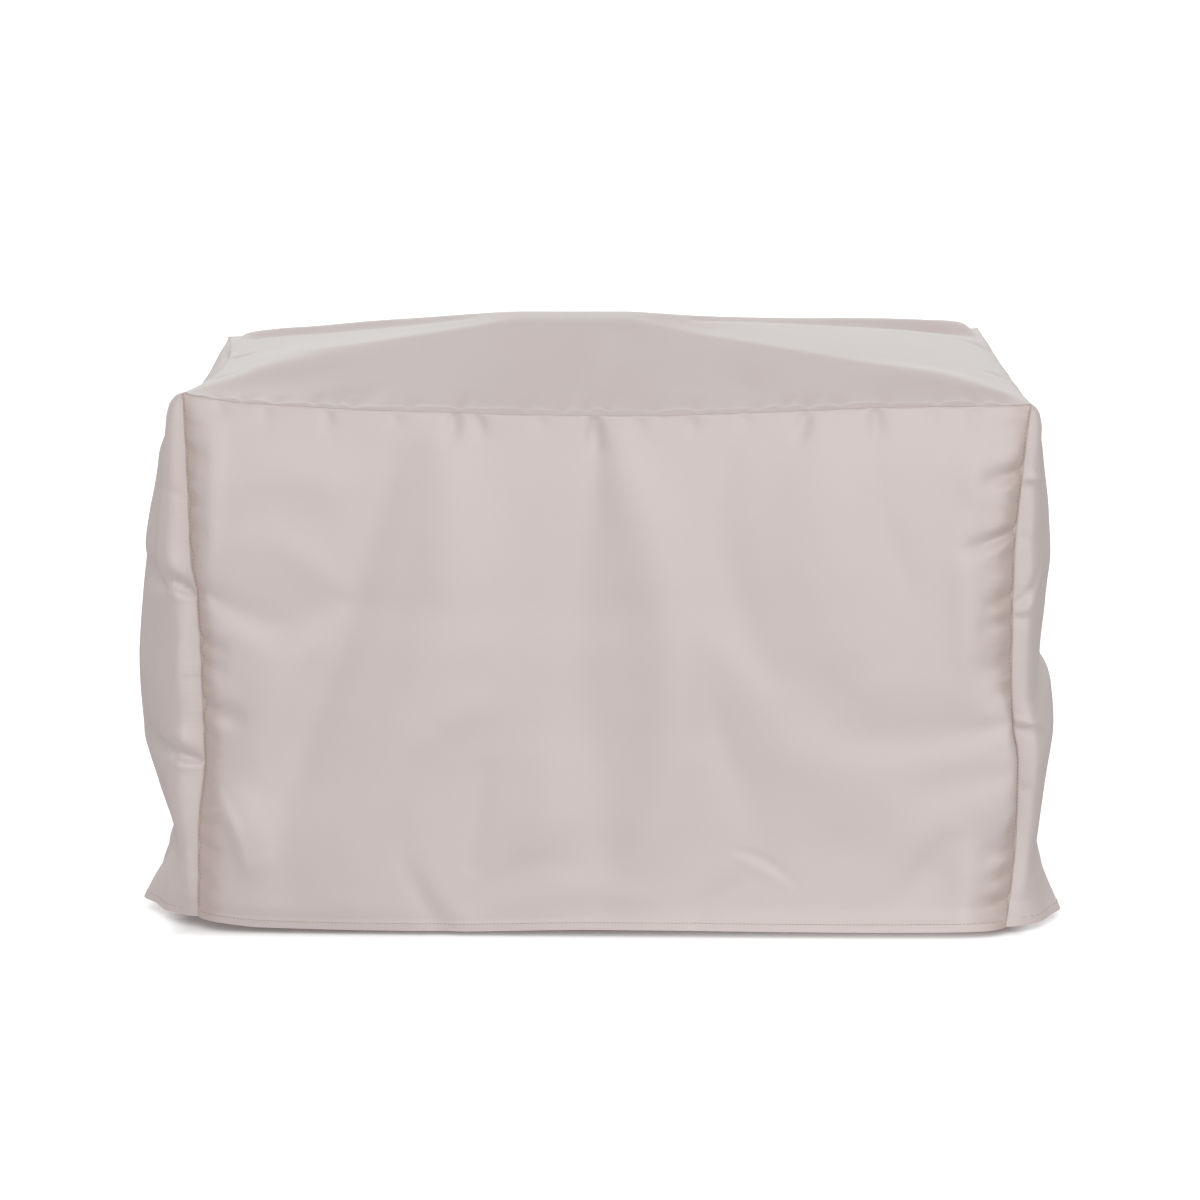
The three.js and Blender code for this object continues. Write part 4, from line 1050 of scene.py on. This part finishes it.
# Corner topstitching. A row of tan lock stitches on the front and back panels, close beside each
# corner seam: short raised threads that dive into the cloth, with a notch between two stitches.
STITCH_PITCH = 0.0072
STITCH_LENGTH = 0.0052
THREAD = 0.00045  # half the thickness of the thread
STITCH_BITE = 0.0006  # how deep a stitch's ends go into the cloth
STITCH_RIDE = 0.75  # how high a stitch rides on the cloth, in half thicknesses of the thread
STITCH_DIVE = 5  # how suddenly its ends dive
STITCH_UNEVEN = 0.06  # share by which the stitches' lengths differ
STITCH_WANDER = 0.00025  # how far askew a stitch lies at most, from one end to the other
STITCH_SEGMENTS = 7
STITCH_SIDES = 6
THREAD_TINTS = ((0.30, 0.205, 0.135, 1), (0.43, 0.32, 0.235, 1))
THREAD_TWIST = 3600.0  # radians of twist a metre
THREAD_RELIEF = 0.0001
THREAD_ROUGHNESS = 0.52
THREAD_UNEVEN = 0.1


def sewing_thread():
    """Tan polyester thread of two twisted strands, with a slight sheen."""
    material, shade = new_material("sewing_thread")
    place = shade.node("TexCoord", {}, {}, "Object")
    along = shade.node("UVMap", {"uv_map": "twist"}, {})
    run = shade.node("SeparateXYZ", {}, {"Vector": along}, "X")
    turn = run.output("Y")
    strands = (run * THREAD_TWIST + turn * (2 * math.pi)).math("SINE")
    lumpy = strands + noise(place, scale=900.0, detail=2.0)
    twisted = shade.node("Bump", {}, {"Height": lumpy, "Strength": 0.5, "Distance": THREAD_RELIEF})
    tone = noise(place, scale=60.0, detail=2.0)
    tints = {6: THREAD_TINTS[0], 7: THREAD_TINTS[1]}
    colour = shade.node("Mix", {"data_type": "RGBA"}, {0: tone, **tints}, 2)
    finish = shade.node("BsdfPrincipled", {}, {
        "Base Color": colour,
        "Roughness": THREAD_ROUGHNESS + THREAD_UNEVEN * tone,
        "Normal": twisted,
    })
    shade.node("OutputMaterial", {}, {"Surface": finish})
    return material


THREAD_FINISH = sewing_thread()


def outside_at(place_at, along, beside, step=0.0015):
    """Place and outward direction of a panel's cloth at its cut coordinates."""
    middle = place_at(along, beside)
    run = place_at(along + step, beside) - place_at(along - step, beside)
    climb = place_at(along, beside + step) - place_at(along, beside - step)
    out = np.cross(run, climb)
    return middle, out / np.linalg.norm(out, axis=-1, keepdims=True)


def stitch_row(name, place_at, starts, direction, length=STITCH_LENGTH):
    """One piece of thread: a stitch from each start (across, up), laid along the cloth."""
    starts = np.asarray(starts, float)
    direction = np.asarray(direction, float)
    generator = np.random.default_rng(len(starts))
    jitter = generator.uniform(-1, 1, (len(starts), 3))
    t = np.linspace(0, 1, STITCH_SEGMENTS)
    sideways = np.stack([-direction[..., 1], direction[..., 0]], -1)
    lengths = length * (1 + STITCH_UNEVEN * jitter[:, 0])
    line = starts[:, None] + direction * lengths[:, None, None] * t[None, :, None]
    wander = (STITCH_WANDER * jitter[:, 1])[:, None, None]
    line = line + sideways * wander * (t - 0.5)[None, :, None]
    middle, out = outside_at(place_at, line[..., 0], line[..., 1])
    height = THREAD * STITCH_RIDE - (THREAD + STITCH_BITE) * np.abs(2 * t - 1) ** STITCH_DIVE
    centre = middle + out * height[None, :, None] - SEAMS_MIDDLE
    run = np.gradient(centre, axis=1)
    run /= np.linalg.norm(run, axis=-1, keepdims=True)
    beside = np.cross(out, run)
    turns = np.arange(STITCH_SIDES) / STITCH_SIDES
    ring = (
        beside[..., None, :] * np.cos(2 * np.pi * turns)[:, None]
        + np.cross(run, beside)[..., None, :] * np.sin(2 * np.pi * turns)[:, None]
    )
    points = centre[..., None, :] + ring * THREAD
    count, rings, sides = points.shape[:3]
    index = np.arange(points[..., 0].size).reshape(count, rings, sides)
    after = np.roll(index, -1, axis=2)
    quads = np.stack([index[:, :-1], index[:, 1:], after[:, 1:], after[:, :-1]], -1).reshape(-1, 4)
    caps = np.concatenate([index[:, 0, ::-1], index[:, -1]])
    faces = quads.tolist() + caps.tolist()
    mesh = bpy.data.meshes.new(name)
    mesh.from_pydata(points.reshape(-1, 3), [], faces)
    mesh.polygons.foreach_set("use_smooth", np.ones(len(mesh.polygons), bool))
    twist = np.stack(np.broadcast_arrays((t * length)[None, :, None], turns[None, None, :]), -1)
    twist = np.broadcast_to(twist, (count, rings, sides, 2)).reshape(-1, 2)
    corners = [corner for face in faces for corner in face]
    mesh.uv_layers.new(name="twist").data.foreach_set("uv", twist[corners].ravel())
    mesh.materials.append(THREAD_FINISH)
    thread = bpy.data.objects.new(name, mesh)
    bpy.context.scene.collection.objects.link(thread)
    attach(thread, "root")


def wall_surface(wall):
    """Where the cloth of a wall lies near its seams, the seam's roll included."""

    def place_at(across, up):
        across, up = np.broadcast_arrays(across, up)
        place = wall_place(wall, np.clip(across, 0, wall["length"]), np.clip(up, 0, DROP))
        distances = {"left": across, "right": wall["length"] - across, "top": DROP - up}
        for side, distance in distances.items():
            near = np.exp(-((distance / SEAM_LIP_WIDTH) ** 2))[..., None]
            place = place + near * unit(wall["inwards"][side]) * SEAM_LIP
        return place

    return place_at


CORNER_STITCH_INSET = 0.0038
FIRST_STITCH = 0.020  # up from the hem
LAST_STITCH = 0.012  # down from the top seam
stitch_heights = np.arange(FIRST_STITCH, DROP - LAST_STITCH, STITCH_PITCH)
for wall, name in ((front, "front"), (back, "back")):
    surface = wall_surface(wall)
    for side, across in (("left", CORNER_STITCH_INSET), ("right", WIDTH - CORNER_STITCH_INSET)):
        starts = np.stack([np.full_like(stitch_heights, across), stitch_heights], -1)
        stitch_row(f"{name}_{side}_stitches", surface, starts, (0, 1))


# Hem stitching. One row of the same tan lock stitches, a little shorter and closer, holds down
# the turned-up hem of each wall just under its upper edge.
HEM_STITCH_UP = 0.0135
HEM_STITCH_PITCH = 0.0065
HEM_STITCH_LENGTH = 0.0045
HEM_STITCHES_START = 0.006  # in from the wall's first seam
HEM_STITCHES_END = 0.010  # and from its last


def hem_surface(wall):
    """Where the outside of a wall's turned-up hem lies."""
    surface = wall_surface(wall)
    step = np.array(wall["outward"], float) * HEM_STEP
    return lambda across, up: surface(across, up) + step


for wall, name in ((front, "front"), (right, "right"), (back, "back"), (left, "left")):
    places = np.arange(HEM_STITCHES_START, wall["length"] - HEM_STITCHES_END, HEM_STITCH_PITCH)
    starts = np.stack([places, np.full_like(places, HEM_STITCH_UP)], -1)
    stitch_row(f"{name}_hem_stitches", hem_surface(wall), starts, (1, 0), length=HEM_STITCH_LENGTH)
